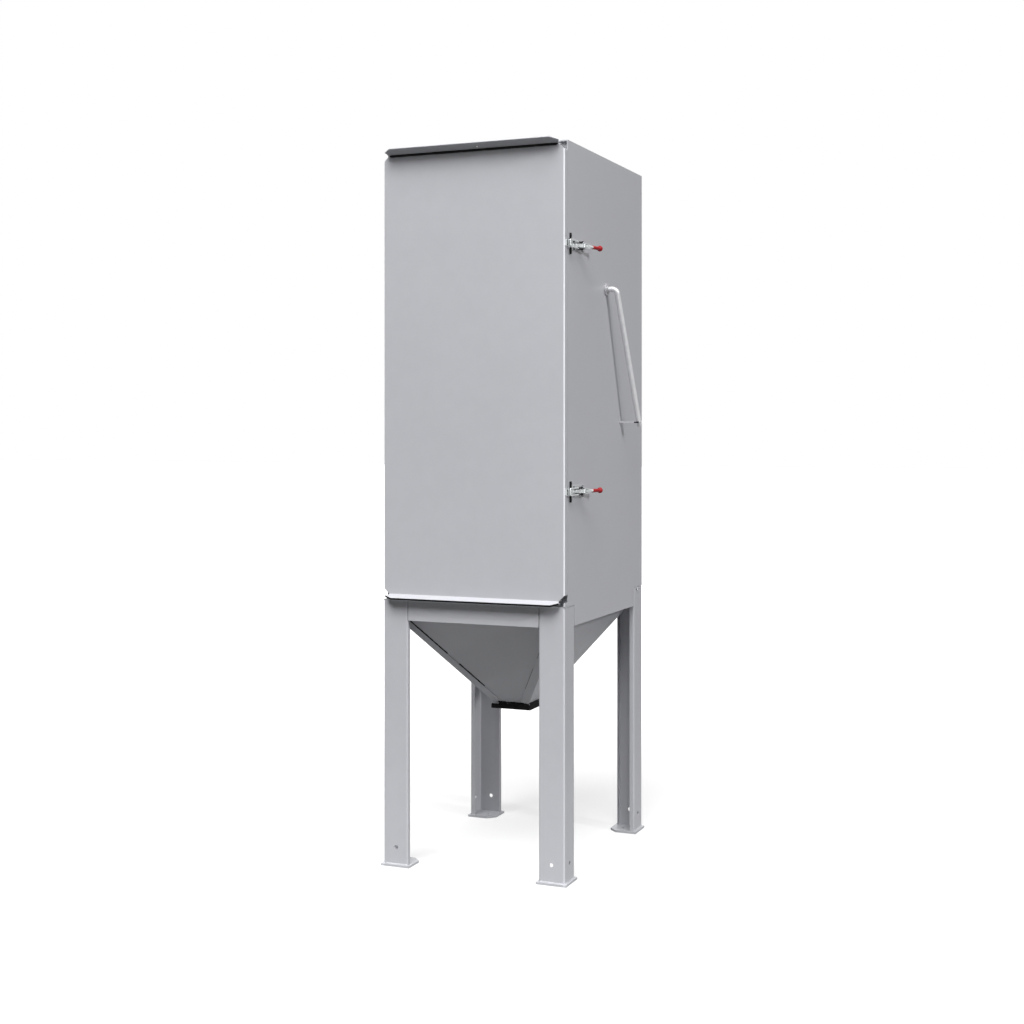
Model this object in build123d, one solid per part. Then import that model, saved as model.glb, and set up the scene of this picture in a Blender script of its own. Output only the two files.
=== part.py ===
from build123d import *
import os
from math import atan2, cos, hypot, radians, sin

# Baghouse dust collector: a sheet steel cabinet on four folded legs, with a hopper below it, hanging
# filter bags inside, a hinged front door held by two toggle clamps, and a hand lever that shakes the bags.
# Millimetres. +Z is up, -Y is the door side, +X is the clamp side, and the floor is at z = 0.

# Cabinet and sheet
WIDTH = 705
DEPTH = 865
HEIGHT = 2600
DECK_BOTTOM = 967
SHEET = 4
SKIRT_HEIGHT = 71
SEAM = 2
FIT = 0.3
RUNNING = 0.1

# Legs and feet
LEG_FLANGE = 97
LEG_LIP = 19
LEG_BEND = 6
LEG_HOLE_R = 7.5
LEG_HOLE_HEIGHT = 70
LEG_HOLE_INSET = 50
FOOT_THICKNESS = 8
FOOT_PROUD = 8
FOOT_CHAMFER = 30
ANCHOR_R = 8
ANCHOR_INSET = 60

# Base ring behind the skirt
RING_THICKNESS = 5
RING_STEP = 5

# Door and its frame
DOOR_SHEET = 3
DOOR_DEPTH = 30
DOOR_BEND = 6
DOOR_ABOVE_DECK = 17
DOOR_BELOW_TOP = 13
DOOR_CHAMFER = 24
DOOR_GAP = 2
SWING_GAP = 12
TOP_LIP_OUT = 42
TOP_LIP_RISE = 17
BOTTOM_LIP_OUT = 30
BOTTOM_LIP_DROP = 16
LIP_END_CUT = 18
LIP_FLARE = 10
PIN_INSET = 13
PIN_FORWARD = 10
PIN_R = 5
PIN_SHOULDER_R = 7
PIN_FOOT_R = 11
PIN_HEAD_R = 9
PIN_FOOT_HEIGHT = 4
PIN_REACH = 12
HINGE_PLATE = 5
HINGE_PLATE_REACH = 27
HINGE_BRACKET = 4
FRAME_FACE = 45
FRAME_SHEET = 3
SEAL_THICKNESS = 8
SEAL_WIDTH = 12
EAR_HEIGHT = 14
STIFFENER_WIDTH = 60
STIFFENER_SHARE = 1 / 4
STIFFENER_DEPTH = 18

# Hopper and outlet
HOPPER_SHEET = 3
HOPPER_BELOW_DECK = 31
HOPPER_RIM = 20
HOPPER_FALL = 380
HOPPER_OUTLET = 140
HOPPER_SEAM_PAST = 1.1
HOPPER_SEAM_SHORT = -0.015
CORNER_STRIP = 32
CORNER_STRIP_END = 34
OUTLET_FLANGE_PROUD = 6
OUTLET_FLANGE_THICKNESS = 5
GASKET_THICKNESS = 17
GASKET_WALL = 18
GASKET_PROUD = 4

# Air spigots at the back
SPIGOT_SHEET = 2
INLET_R = 70
INLET_BELOW_HOPPER_TOP = 136
INLET_PAST_WALL = 14
INLET_STUB = 64
INLET_BEAD = 4
INLET_BEAD_PROUD = 1.5
AIR_OUTLET_R = 100
AIR_OUTLET_BELOW_TOP = 310
AIR_OUTLET_LENGTH = 90
AIR_COLLAR_WIDTH = 30
AIR_COLLAR_THICKNESS = 3

# Filter bags and their carriers
BAG_COLUMNS = 3
BAG_ROWS = 4
BAG_EDGE_X = 45
BAG_EDGE_Y = 56.5
THIMBLE_R = 74
THIMBLE_WALL = 2
THIMBLE_HEIGHT = 55
BAG_WALL = 4
BAG_BELOW_HANGER = 32
BAG_SHOULDER = 28
BAG_LIFT = 8
HANGER_BELOW_SHAFT = 77
HANGER_HEIGHT = 34
HANGER_ANGLE = 34
HANGER_THICKNESS = 4
HANGER_END_GAP = 55
HOOK_R = 4

# Shaker shaft, lever and parking peg
SHAFT_BELOW_TOP = 489
SHAFT_R = 8
BUSH_FLANGE_R = 22
BUSH_FLANGE = 6
BUSH_HUB_R = 14
BUSH_LENGTH = 12
BUSH_SHORT = 1
BUSH_INSIDE = 10
BEARING_R = 20
BEARING_LENGTH = 22
LEVER_R = 10
LEVER_OUT = 42
LEVER_BEND_R = 18
LEVER_DROP = 510
LEVER_BACK = 184
LEVER_SPREAD = 30
TAPPER_LENGTH = 98
TAPPER_WIDTH = 24
TAPPER_THICKNESS = 8
PEG_R = 2.5
PEG_ABOVE_END = 15
PEG_PAST_ROD = 12
PEG_WASHER_R = 7
PEG_WASHER = 2

# Toggle clamps
CLAMP_BELOW_DOOR_TOP = 348
CLAMP_ABOVE_DOOR_BOTTOM = 382
CLAMP_PIVOT_OUT = 22
CLAMP_PIVOT_BACK = 132
CLAMP_PIN_R = 3
CLAMP_BASE = 2.5
CLAMP_BASE_FRONT = 42
CLAMP_HEAD_HALF = 36.5
CLAMP_HEAD_LENGTH = 24
CLAMP_TAIL_HALF = 20
CLAMP_TAIL_END = 152
CLAMP_EDGE_OUT = 9
LUG_HALF = 6
LUG_R = 8
LUG_FRONT = 96
LUG_TOE = 4.5
LUG_SHOULDER = 2
CHEEK = 2.5
CHEEK_GAP = 0.5
HOOK_WIRE_R = 2.5
HOOK_PIVOT_IN = 8
HOOK_PIVOT_BACK = 13
HOOK_BAR_BACK = 20
HOOK_BEND_R = 5
HOOK_EYE_R = 5.5
HOOK_EYE_HALF = 2.1
HOOK_EYE_LAP = 1
HANDLE_LEAN = 15
HANDLE_START = 22
HANDLE_NECK_R = 5
GRIP_START = 54
GRIP_R = 6.2
GRIP_WAIST_R = 7
BALL_R = 10.5
BALL_CENTRE = 101
KEEPER_HALF = 11
KEEPER_THICKNESS = 2.5
KEEPER_FRONT = 6
KEEPER_LENGTH = 22
KEEPER_CLEAR = 2
KEEPER_NOSE = 5
KEEPER_SADDLE = 7.5
KEEPER_CREST = 5

# Sizes that follow from the ones above
SIDE = WIDTH / 2
FRONT = -DEPTH / 2
BACK = DEPTH / 2
INNER_SIDE = SIDE - SHEET
INNER_BACK = BACK - SHEET
SKIRT_BOTTOM = DECK_BOTTOM - SKIRT_HEIGHT
RING_BOTTOM = SKIRT_BOTTOM + RING_STEP
DECK_TOP = DECK_BOTTOM + SHEET
ROOF_BOTTOM = HEIGHT - SHEET
DOOR_BOTTOM = DECK_TOP + DOOR_ABOVE_DECK
DOOR_TOP = HEIGHT - DOOR_BELOW_TOP
WALL_FRONT = FRONT + DOOR_DEPTH + DOOR_GAP
FRAME_FRONT = FRONT + DOOR_DEPTH + SWING_GAP
FRAME_BACK = FRAME_FRONT + FRAME_SHEET
FRAME_SIDE = INNER_SIDE - FRAME_FACE
FRAME_LOW = DECK_TOP + FRAME_FACE
FRAME_HIGH = ROOF_BOTTOM - FRAME_FACE
RIM_FRONT = FRONT + DOOR_SHEET + SEAL_THICKNESS
PIN_X = -SIDE + PIN_INSET
PIN_Y = FRONT + DOOR_DEPTH - PIN_FORWARD
RING_SIDE = INNER_SIDE - RING_THICKNESS
RING_BACK = INNER_BACK - RING_THICKNESS
HOPPER_TOP = DECK_BOTTOM - HOPPER_BELOW_DECK
HOPPER_BOTTOM = HOPPER_TOP - HOPPER_FALL
INLET_LEVEL = HOPPER_TOP - INLET_BELOW_HOPPER_TOP
AIR_OUTLET_LEVEL = HEIGHT - AIR_OUTLET_BELOW_TOP
OUTLET_FLANGE = HOPPER_OUTLET + 2 * OUTLET_FLANGE_PROUD
GASKET_BOTTOM = HOPPER_BOTTOM - OUTLET_FLANGE_THICKNESS - GASKET_THICKNESS
SHAFT_LEVEL = HEIGHT - SHAFT_BELOW_TOP
HANGER_BOTTOM = SHAFT_LEVEL - HANGER_BELOW_SHAFT
HANGER_TOP = HANGER_BOTTOM + HANGER_HEIGHT
BAG_TOP = HANGER_BOTTOM - BAG_BELOW_HANGER
BAG_PITCH_X = (WIDTH - 2 * BAG_EDGE_X) / BAG_COLUMNS
BAG_PITCH_Y = (DEPTH - 2 * BAG_EDGE_Y) / BAG_ROWS
BAG_R = THIMBLE_R + FIT + BAG_WALL
THIMBLE_TOP = DECK_TOP + THIMBLE_HEIGHT
CLAMP_LEVELS = {"upper": DOOR_TOP - CLAMP_BELOW_DOOR_TOP, "lower": DOOR_BOTTOM + CLAMP_ABOVE_DOOR_BOTTOM}
CHEEK_INNER = LUG_HALF + CHEEK_GAP
CHEEK_OUTER = CHEEK_INNER + CHEEK
HOOK_INNER = CHEEK_OUTER + CHEEK_GAP
HOOK_HALF = HOOK_INNER + HOOK_WIRE_R
EPS = 0.01


def box(x0, x1, y0, y1, z0, z1):
    """A block between two corners."""
    middle = ((x0 + x1) / 2, (y0 + y1) / 2, (z0 + z1) / 2)
    return Pos(*middle) * Box(x1 - x0, y1 - y0, z1 - z0)


def rod(start, end, radius):
    """A round bar from one point to another."""
    axis = Vector(*end) - Vector(*start)
    return extrude(Plane(origin=start, z_dir=axis) * Circle(radius), axis.length)


def flat(points, plane, thickness):
    """A plate: a closed outline on a plane, thickened along the plane's normal."""
    return extrude(plane * make_face(Polyline(*points, close=True)), thickness)


def rectangle_at(half_x, half_y, z):
    """A level rectangle about the centre line."""
    return Pos(0, 0, z) * Rectangle(2 * half_x, 2 * half_y)


def write(name, shape):
    """Writes one node's STEP file."""
    export_step(shape, os.path.join("parts", name + ".step"))


def bag_places():
    """Centres of the bags, row by row from the door."""
    for row in range(BAG_ROWS):
        for column in range(BAG_COLUMNS):
            x = (column - (BAG_COLUMNS - 1) / 2) * BAG_PITCH_X
            y = (row - (BAG_ROWS - 1) / 2) * BAG_PITCH_Y
            yield x, y


def row_places():
    """Distances of the bag rows from the cabinet's middle."""
    return [(row - (BAG_ROWS - 1) / 2) * BAG_PITCH_Y for row in range(BAG_ROWS)]


def leg_notch(x, y):
    """The corner space that a leg's upper end fills, with the seam round it."""
    reach = LEG_FLANGE + SEAM
    x_in = x - reach if x > 0 else x + reach
    y_in = y - reach if y > 0 else y + reach
    low, high = sorted((x, x_in)), sorted((y, y_in))
    return box(low[0] - EPS, low[1] + EPS, high[0] - EPS, high[1] + EPS, 0, DECK_BOTTOM + SEAM)


def side_wall(side):
    """A side wall with its skirt, notched for the legs; the clamp side has an ear below the door."""
    outer, inner = side * SIDE, side * INNER_SIDE
    low, high = min(outer, inner), max(outer, inner)
    front = WALL_FRONT if side > 0 else FRAME_FRONT
    wall = box(low, high, front, INNER_BACK, DECK_BOTTOM, ROOF_BOTTOM)
    wall += box(low, high, FRONT, INNER_BACK, SKIRT_BOTTOM, DECK_BOTTOM)
    for y in (FRONT, BACK):
        wall -= leg_notch(outer, y)
    if side > 0:
        wall += box(low, high, FRONT, front, DECK_TOP, DECK_TOP + EAR_HEIGHT)
        wall -= Pos(SIDE, 0, SHAFT_LEVEL) * Rot(0, 90, 0) * Cylinder(BUSH_HUB_R, 4 * SHEET)
    return wall


def back_wall():
    """The back wall with its skirt, notched for the legs and open at the clean air outlet."""
    wall = box(-SIDE, SIDE, INNER_BACK, BACK, SKIRT_BOTTOM, ROOF_BOTTOM)
    for x in (-SIDE, SIDE):
        wall -= leg_notch(x, BACK)
    hole = Pos(0, BACK, AIR_OUTLET_LEVEL) * Rot(90, 0, 0) * Cylinder(AIR_OUTLET_R, 4 * SHEET)
    return wall - hole


def roof_panel():
    """The flat roof, which lies on the walls."""
    return box(-SIDE, SIDE, WALL_FRONT, BACK, ROOF_BOTTOM, HEIGHT)


def front_rail():
    """The skirt's front strip between the legs."""
    half = SIDE - LEG_FLANGE - SEAM
    return box(-half, half, FRONT, FRONT + SHEET, SKIRT_BOTTOM, DECK_BOTTOM)


def base_ring():
    """The flat bar ring behind legs and skirt, which ties them and carries the deck."""
    outer = box(-INNER_SIDE, INNER_SIDE, -INNER_BACK, INNER_BACK, RING_BOTTOM, DECK_BOTTOM)
    return outer - box(-RING_SIDE, RING_SIDE, -RING_BACK, RING_BACK, 0, HEIGHT)


def deck():
    """The tube sheet: a deck over the legs with a hole for each bag mouth and a sill at the door."""
    plate = box(-INNER_SIDE, INNER_SIDE, WALL_FRONT, INNER_BACK, DECK_BOTTOM, DECK_TOP)
    plate += box(-SIDE, SIDE, FRONT, WALL_FRONT, DECK_BOTTOM, DECK_TOP)
    for x, y in bag_places():
        plate -= Pos(x, y, DECK_BOTTOM) * Cylinder(THIMBLE_R, 4 * SHEET)
    return plate


def bag_thimbles():
    """The short tubes in the deck's holes, which the bag mouths are drawn over."""
    rings = []
    for x, y in bag_places():
        ring = rod((x, y, DECK_BOTTOM), (x, y, THIMBLE_TOP), THIMBLE_R)
        rings.append(ring - rod((x, y, 0), (x, y, HEIGHT), THIMBLE_R - THIMBLE_WALL))
    return Compound(children=rings)


def leg_profile(x_sign, y_sign):
    """The leg's section: an angle with a return lip on each flange, bent round at every fold."""
    outer = [(0, 0), (LEG_FLANGE, 0), (LEG_FLANGE, LEG_LIP), (LEG_FLANGE - SHEET, LEG_LIP)]
    outer += [(LEG_FLANGE - SHEET, SHEET), (SHEET, SHEET), (SHEET, LEG_FLANGE - SHEET)]
    outer += [(LEG_LIP, LEG_FLANGE - SHEET), (LEG_LIP, LEG_FLANGE), (0, LEG_FLANGE)]
    outside = [outer[0], outer[1], outer[-1]]
    inside = [outer[4], outer[5], outer[6]]
    points = [(x_sign * (SIDE - a), y_sign * (BACK - b)) for a, b in outer]
    face = make_face(Polyline(*points, close=True))
    for corners, radius in ((outside, LEG_BEND), (inside, LEG_BEND - SHEET)):
        places = [Vector(x_sign * (SIDE - a), y_sign * (BACK - b)) for a, b in corners]
        bends = [v for v in face.vertices() if min((v.center() - place).length for place in places) < EPS]
        face = fillet(bends, radius)
    return face


def leg(x_sign, y_sign):
    """One folded leg, drilled low down on both flanges, with its lips cut back below the skirt."""
    height = DECK_BOTTOM - FOOT_THICKNESS
    body = extrude(Pos(0, 0, FOOT_THICKNESS) * leg_profile(x_sign, y_sign), height)
    x, y = x_sign * SIDE, y_sign * BACK
    x_in, y_in = x_sign * INNER_SIDE, y_sign * INNER_BACK
    x_far, y_far = x - x_sign * (LEG_FLANGE + SEAM), y - y_sign * (LEG_FLANGE + SEAM)
    inside_x, inside_y = sorted((x_in, x_far)), sorted((y_in, y_far))
    body -= box(*inside_x, *inside_y, SKIRT_BOTTOM - SEAM, HEIGHT)
    hole = Cylinder(LEG_HOLE_R, 4 * SHEET)
    body -= Pos(x - x_sign * LEG_HOLE_INSET, y, LEG_HOLE_HEIGHT) * Rot(90, 0, 0) * hole
    body -= Pos(x, y - y_sign * LEG_HOLE_INSET, LEG_HOLE_HEIGHT) * Rot(0, 90, 0) * hole
    return body


def foot_plate(x_sign, y_sign):
    """One foot plate, a little proud of its leg, with its inner corner cut and one anchor hole."""
    x0, x1 = -FOOT_PROUD, LEG_FLANGE + FOOT_PROUD
    outline = [(x0, x0), (x1, x0), (x1, x1 - FOOT_CHAMFER), (x1 - FOOT_CHAMFER, x1), (x0, x1)]
    points = [(x_sign * (SIDE - a), y_sign * (BACK - b)) for a, b in outline]
    plate = extrude(make_face(Polyline(*points, close=True)), FOOT_THICKNESS, dir=(0, 0, 1))
    place = Pos(x_sign * (SIDE - ANCHOR_INSET), y_sign * (BACK - ANCHOR_INSET), 0)
    return plate - place * Cylinder(ANCHOR_R, 4 * FOOT_THICKNESS)


def front_frame():
    """The door frame's flat face inside the walls, open at the doorway."""
    face = box(-INNER_SIDE, INNER_SIDE, FRAME_FRONT, FRAME_BACK, DECK_TOP, ROOF_BOTTOM)
    return face - box(-FRAME_SIDE, FRAME_SIDE, FRONT, 0, FRAME_LOW, FRAME_HIGH)


def frame_rim():
    """The raised rim round the doorway, which stands on the frame's face."""
    rim = box(-FRAME_SIDE - FRAME_SHEET, FRAME_SIDE + FRAME_SHEET, RIM_FRONT, FRAME_FRONT,
              FRAME_LOW - FRAME_SHEET, FRAME_HIGH + FRAME_SHEET)
    return rim - box(-FRAME_SIDE, FRAME_SIDE, FRONT, 0, FRAME_LOW, FRAME_HIGH)


def door_seal():
    """The rubber seal on the rim, as thick as the space behind the closed door."""
    spread = (SEAL_WIDTH - FRAME_SHEET) / 2
    seal_front = FRONT + DOOR_SHEET + FIT
    outer_side = FRAME_SIDE + FRAME_SHEET + spread
    outer_low, outer_high = FRAME_LOW - FRAME_SHEET - spread, FRAME_HIGH + FRAME_SHEET + spread
    outer = box(-outer_side, outer_side, seal_front, RIM_FRONT, outer_low, outer_high)
    inner_side = FRAME_SIDE - spread
    return outer - box(-inner_side, inner_side, FRONT, 0, FRAME_LOW - spread, FRAME_HIGH + spread)


def lip(fold_z, rise, out):
    """A door lip: a strip folded outwards and up or down, with its ends cut back."""
    half = SIDE - DOOR_CHAMFER
    slope = hypot(out, rise)
    tilt = Vector(0, -out, rise).normalized()
    root_z = fold_z - DOOR_SHEET if rise > 0 else fold_z + DOOR_SHEET
    plane = Plane(origin=(0, FRONT, root_z), x_dir=(1, 0, 0), z_dir=Vector(1, 0, 0).cross(tilt))
    outline = [(-half, 0), (half, 0), (half + LIP_FLARE, slope / 2), (half - LIP_END_CUT, slope)]
    outline += [(-half + LIP_END_CUT, slope), (-half - LIP_FLARE, slope / 2)]
    inward = -DOOR_SHEET if rise > 0 else DOOR_SHEET
    return flat(outline, plane, inward)


def door_corner_cut(x, z):
    """The cut across one corner of the door."""
    toward_x = x + DOOR_CHAMFER if x < 0 else x - DOOR_CHAMFER
    toward_z = z + DOOR_CHAMFER if z < (DOOR_BOTTOM + DOOR_TOP) / 2 else z - DOOR_CHAMFER
    far_x, far_z = x + (x - toward_x), z + (z - toward_z)
    corner = [(toward_x, z), (toward_x, far_z), (far_x, far_z), (far_x, toward_z), (x, toward_z)]
    plane = Plane(origin=(0, FRONT - EPS, 0), x_dir=(1, 0, 0), z_dir=(0, -1, 0))
    return flat(corner, plane, -(DOOR_DEPTH + 2 * EPS))


def door_panel():
    """The door: a tray of sheet with cut corners, folded lips and hinge plates."""
    tray_back = FRONT + DOOR_DEPTH
    tray = box(-SIDE, SIDE, FRONT, tray_back, DOOR_BOTTOM, DOOR_TOP)
    bends = tray.edges().filter_by(Axis.Z).filter_by(lambda e: abs(e.center().Y - FRONT) < EPS)
    tray = fillet(bends, DOOR_BEND)
    hollow = box(-SIDE + DOOR_SHEET, SIDE - DOOR_SHEET, FRONT + DOOR_SHEET, BACK,
                 DOOR_BOTTOM + DOOR_SHEET, DOOR_TOP - DOOR_SHEET)
    inner_bends = hollow.edges().filter_by(Axis.Z).filter_by(lambda e: e.center().Y < 0)
    tray -= fillet(inner_bends, DOOR_BEND - DOOR_SHEET)
    for x in (-SIDE, SIDE):
        for z in (DOOR_BOTTOM, DOOR_TOP):
            tray -= door_corner_cut(x, z)
    for level in hinge_plate_levels():
        plate = box(-SIDE + DOOR_SHEET - EPS, -SIDE + HINGE_PLATE_REACH, FRONT + DOOR_SHEET - EPS, tray_back,
                    level, level + HINGE_PLATE)
        tray += plate - Pos(PIN_X, PIN_Y, level) * Cylinder(PIN_R + RUNNING, 4 * HINGE_PLATE)
    tray += lip(DOOR_TOP, TOP_LIP_RISE, TOP_LIP_OUT)
    tray += lip(DOOR_BOTTOM, -BOTTOM_LIP_DROP, BOTTOM_LIP_OUT)
    return tray


def door_stiffeners():
    """The two folded channels across the inside of the door's sheet."""
    channels = []
    inner = FRAME_SIDE - SEAL_WIDTH - DOOR_GAP
    front = FRONT + DOOR_SHEET
    back = front + STIFFENER_DEPTH
    rise = (DOOR_TOP - DOOR_BOTTOM) * STIFFENER_SHARE
    for level in (DOOR_BOTTOM + rise, DOOR_TOP - rise):
        low, high = level - STIFFENER_WIDTH / 2, level + STIFFENER_WIDTH / 2
        hollow = box(-SIDE, SIDE, FRONT, back - DOOR_SHEET, low + DOOR_SHEET, high - DOOR_SHEET)
        channels.append(box(-inner, inner, front, back, low, high) - hollow)
    return Compound(children=channels)


def hinge_plate_levels():
    """Undersides of the door's two hinge plates, just inside the cut corners."""
    low = DOOR_BOTTOM + DOOR_CHAMFER + DOOR_GAP
    high = DOOR_TOP - DOOR_CHAMFER - DOOR_GAP - HINGE_PLATE
    return low, high


def lower_hinge():
    """The lower pivot: a foot on the sill and a shouldered pin that the door's plate sits on."""
    seat = hinge_plate_levels()[0]
    at = (PIN_X, PIN_Y)
    pivot = rod((*at, DECK_TOP), (*at, DECK_TOP + PIN_FOOT_HEIGHT), PIN_FOOT_R)
    pivot += rod((*at, DECK_TOP), (*at, seat - FIT), PIN_SHOULDER_R)
    return pivot + rod((*at, DECK_TOP), (*at, seat + HINGE_PLATE + PIN_REACH), PIN_R)


def upper_hinge():
    """The upper pivot: a bracket under the roof's edge, with a pin down into the door's plate."""
    at = (PIN_X, PIN_Y)
    low = ROOF_BOTTOM - HINGE_BRACKET
    bracket = box(PIN_X - PIN_HEAD_R, PIN_X + PIN_HEAD_R, PIN_Y, FRAME_FRONT, low, ROOF_BOTTOM)
    bracket += rod((*at, low), (*at, ROOF_BOTTOM), PIN_HEAD_R)
    seat = hinge_plate_levels()[1]
    return bracket + rod((*at, seat - PIN_REACH), (*at, ROOF_BOTTOM), PIN_R)


def hopper_shell(inset):
    """The hopper's outer form, or its inner form when inset by the sheet."""
    half = HOPPER_OUTLET / 2 - inset
    cone = loft([rectangle_at(half, half, HOPPER_BOTTOM),
                 rectangle_at(RING_SIDE - inset, RING_BACK - inset, HOPPER_TOP)])
    rim = box(-RING_SIDE + inset, RING_SIDE - inset, -RING_BACK + inset, RING_BACK - inset,
              HOPPER_TOP, HOPPER_TOP + HOPPER_RIM)
    return cone + rim


def hopper_sector(name):
    """The part of the plan that belongs to one hopper side, between its two corner seams."""
    half = HOPPER_OUTLET / 2
    reach_x, reach_y = RING_SIDE - half, RING_BACK - half
    far = (half + reach_x * HOPPER_SEAM_PAST, half + reach_y * HOPPER_SEAM_PAST)
    near = (half + reach_x * HOPPER_SEAM_SHORT, half + reach_y * HOPPER_SEAM_SHORT)
    if name == "front":
        points = [(-far[0], -far[1]), (far[0], -far[1]), (near[0], -near[1]), (-near[0], -near[1])]
    elif name == "back":
        points = [(-far[0], far[1]), (far[0], far[1]), (near[0], near[1]), (-near[0], near[1])]
    elif name == "left":
        points = [(-far[0], -far[1]), (-far[0], far[1]), (-near[0], near[1]), (-near[0], -near[1])]
    else:
        points = [(far[0], -far[1]), (far[0], far[1]), (near[0], near[1]), (near[0], -near[1])]
    return extrude(make_face(Polyline(*points, close=True)), HEIGHT, dir=(0, 0, 1))


def corner_strip(x_sign, y_sign):
    """The lap strip along one hopper corner, on the outside of the front or back side."""
    half = HOPPER_OUTLET / 2
    low = Vector(x_sign * half, y_sign * half, HOPPER_BOTTOM)
    high = Vector(x_sign * RING_SIDE, y_sign * RING_BACK, HOPPER_TOP)
    along = (high - low).normalized()
    normal = along.cross(Vector(1, 0, 0)).normalized()
    if normal.Z > 0:
        normal = normal * -1
    across = along.cross(normal).normalized()
    if across.X * x_sign > 0:
        across = across * -1
    length = (high - low).length
    start = low
    finish = low + along * (length - CORNER_STRIP_END)
    ring = [start, finish, finish + across * CORNER_STRIP, start + across * CORNER_STRIP]
    face = make_face(Polyline(*ring, close=True))
    strip = extrude(face, HOPPER_SHEET, dir=normal)
    return strip - box(-SIDE, SIDE, -BACK, BACK, 0, HOPPER_BOTTOM)


def hopper_side(name):
    """One side of the hopper: a folded plate with an upright rim; the back one takes the inlet."""
    shell = hopper_shell(0) - hopper_shell(HOPPER_SHEET)
    side = shell & hopper_sector(name)
    if name == "back":
        side -= rod((0, 0, INLET_LEVEL), (0, BACK, INLET_LEVEL), INLET_R)
    return side


def hopper_strips():
    """The four lap strips over the hopper's corner seams."""
    strips = [corner_strip(x, y) for x in (-1, 1) for y in (-1, 1)]
    return Compound(children=strips)


def outlet_flange():
    """The square steel flange under the hopper."""
    half, hole = OUTLET_FLANGE / 2, HOPPER_OUTLET / 2 - HOPPER_SHEET
    top = HOPPER_BOTTOM
    plate = box(-half, half, -half, half, top - OUTLET_FLANGE_THICKNESS, top)
    return plate - box(-hole, hole, -hole, hole, 0, HEIGHT)


def outlet_gasket():
    """The black rubber gasket under the flange, open in the middle."""
    half = OUTLET_FLANGE / 2 + GASKET_PROUD
    hole = OUTLET_FLANGE / 2 - GASKET_WALL
    top = GASKET_BOTTOM + GASKET_THICKNESS
    pad = box(-half, half, -half, half, GASKET_BOTTOM, top)
    return pad - box(-hole, hole, -hole, hole, 0, HEIGHT)


def inlet_spigot():
    """The dusty air inlet: a round tube through the back of the hopper, with a stop bead for the hose."""
    end = BACK + INLET_PAST_WALL
    bead = end - INLET_STUB
    tube = rod((0, 0, INLET_LEVEL), (0, end, INLET_LEVEL), INLET_R)
    tube += rod((0, bead - INLET_BEAD, INLET_LEVEL), (0, bead, INLET_LEVEL), INLET_R + INLET_BEAD_PROUD)
    tube -= rod((0, -1, INLET_LEVEL), (0, end + 1, INLET_LEVEL), INLET_R - SPIGOT_SHEET)
    return tube - hopper_shell(HOPPER_SHEET)


def air_outlet():
    """The clean air outlet: a round collar and tube high on the back wall."""
    end = BACK + AIR_OUTLET_LENGTH
    level = AIR_OUTLET_LEVEL
    tube = rod((0, INNER_BACK, level), (0, end, level), AIR_OUTLET_R)
    tube += rod((0, BACK, level), (0, BACK + AIR_COLLAR_THICKNESS, level), AIR_OUTLET_R + AIR_COLLAR_WIDTH)
    return tube - rod((0, 0, level), (0, end + 1, level), AIR_OUTLET_R - SPIGOT_SHEET)


def filter_bags():
    """The hanging filter bags, each a soft tube round its thimble, closed at the top."""
    outer = [(0, THIMBLE_TOP + FIT), (0, BAG_TOP), (BAG_R - BAG_SHOULDER, BAG_TOP)]
    outer += [(BAG_R, BAG_TOP - BAG_SHOULDER), (BAG_R, DECK_TOP + BAG_LIFT)]
    outer += [(THIMBLE_R + FIT, DECK_TOP + BAG_LIFT), (THIMBLE_R + FIT, THIMBLE_TOP + FIT)]
    bag = revolve(Plane.XZ * make_face(Polyline(*outer, close=True)), Axis.Z)
    return Compound(children=[Pos(x, y, 0) * bag for x, y in bag_places()])


def hanger_angles():
    """The two side angles of the hanger rack, on the inside of the walls."""
    rows = row_places()
    first, last = rows[0] - HANGER_END_GAP, rows[-1] + HANGER_END_GAP
    angles = []
    for side in (-1, 1):
        wall, web, toe = (side * (INNER_SIDE - depth) for depth in (0, HANGER_THICKNESS, HANGER_ANGLE))
        upright = box(min(wall, web), max(wall, web), first, last, HANGER_BOTTOM, HANGER_TOP)
        shelf_top = HANGER_BOTTOM + HANGER_THICKNESS
        angles.append(upright + box(min(wall, toe), max(wall, toe), first, last, HANGER_BOTTOM, shelf_top))
    return Compound(children=angles)


def hanger_bars():
    """The flat bars over the bag rows, which lie on the angles, each with a hook rod above every bag."""
    half = INNER_SIDE - HANGER_THICKNESS - FIT
    bars = {}
    for y in row_places():
        bars[y] = box(-half, half, y - HANGER_THICKNESS / 2, y + HANGER_THICKNESS / 2,
                      HANGER_BOTTOM + HANGER_THICKNESS, HANGER_TOP)
    for x, y in bag_places():
        bars[y] += rod((x, y, BAG_TOP + FIT), (x, y, HANGER_TOP - HOOK_R), HOOK_R)
    return Compound(children=list(bars.values()))


def shaker_shaft():
    """The shaker shaft across the cabinet, with two tapper arms between the bag columns."""
    left = -INNER_SIDE + DOOR_GAP
    shaft = rod((left, 0, SHAFT_LEVEL), (SIDE + BUSH_LENGTH, 0, SHAFT_LEVEL), SHAFT_R)
    for x in (-BAG_PITCH_X / 2, BAG_PITCH_X / 2):
        shaft += box(x - TAPPER_THICKNESS / 2, x + TAPPER_THICKNESS / 2, -TAPPER_WIDTH / 2, TAPPER_WIDTH / 2,
                     SHAFT_LEVEL - TAPPER_LENGTH, SHAFT_LEVEL)
        shaft += rod((x - TAPPER_THICKNESS / 2, 0, SHAFT_LEVEL), (x + TAPPER_THICKNESS / 2, 0, SHAFT_LEVEL),
                     TAPPER_WIDTH / 2)
    return shaft


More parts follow.
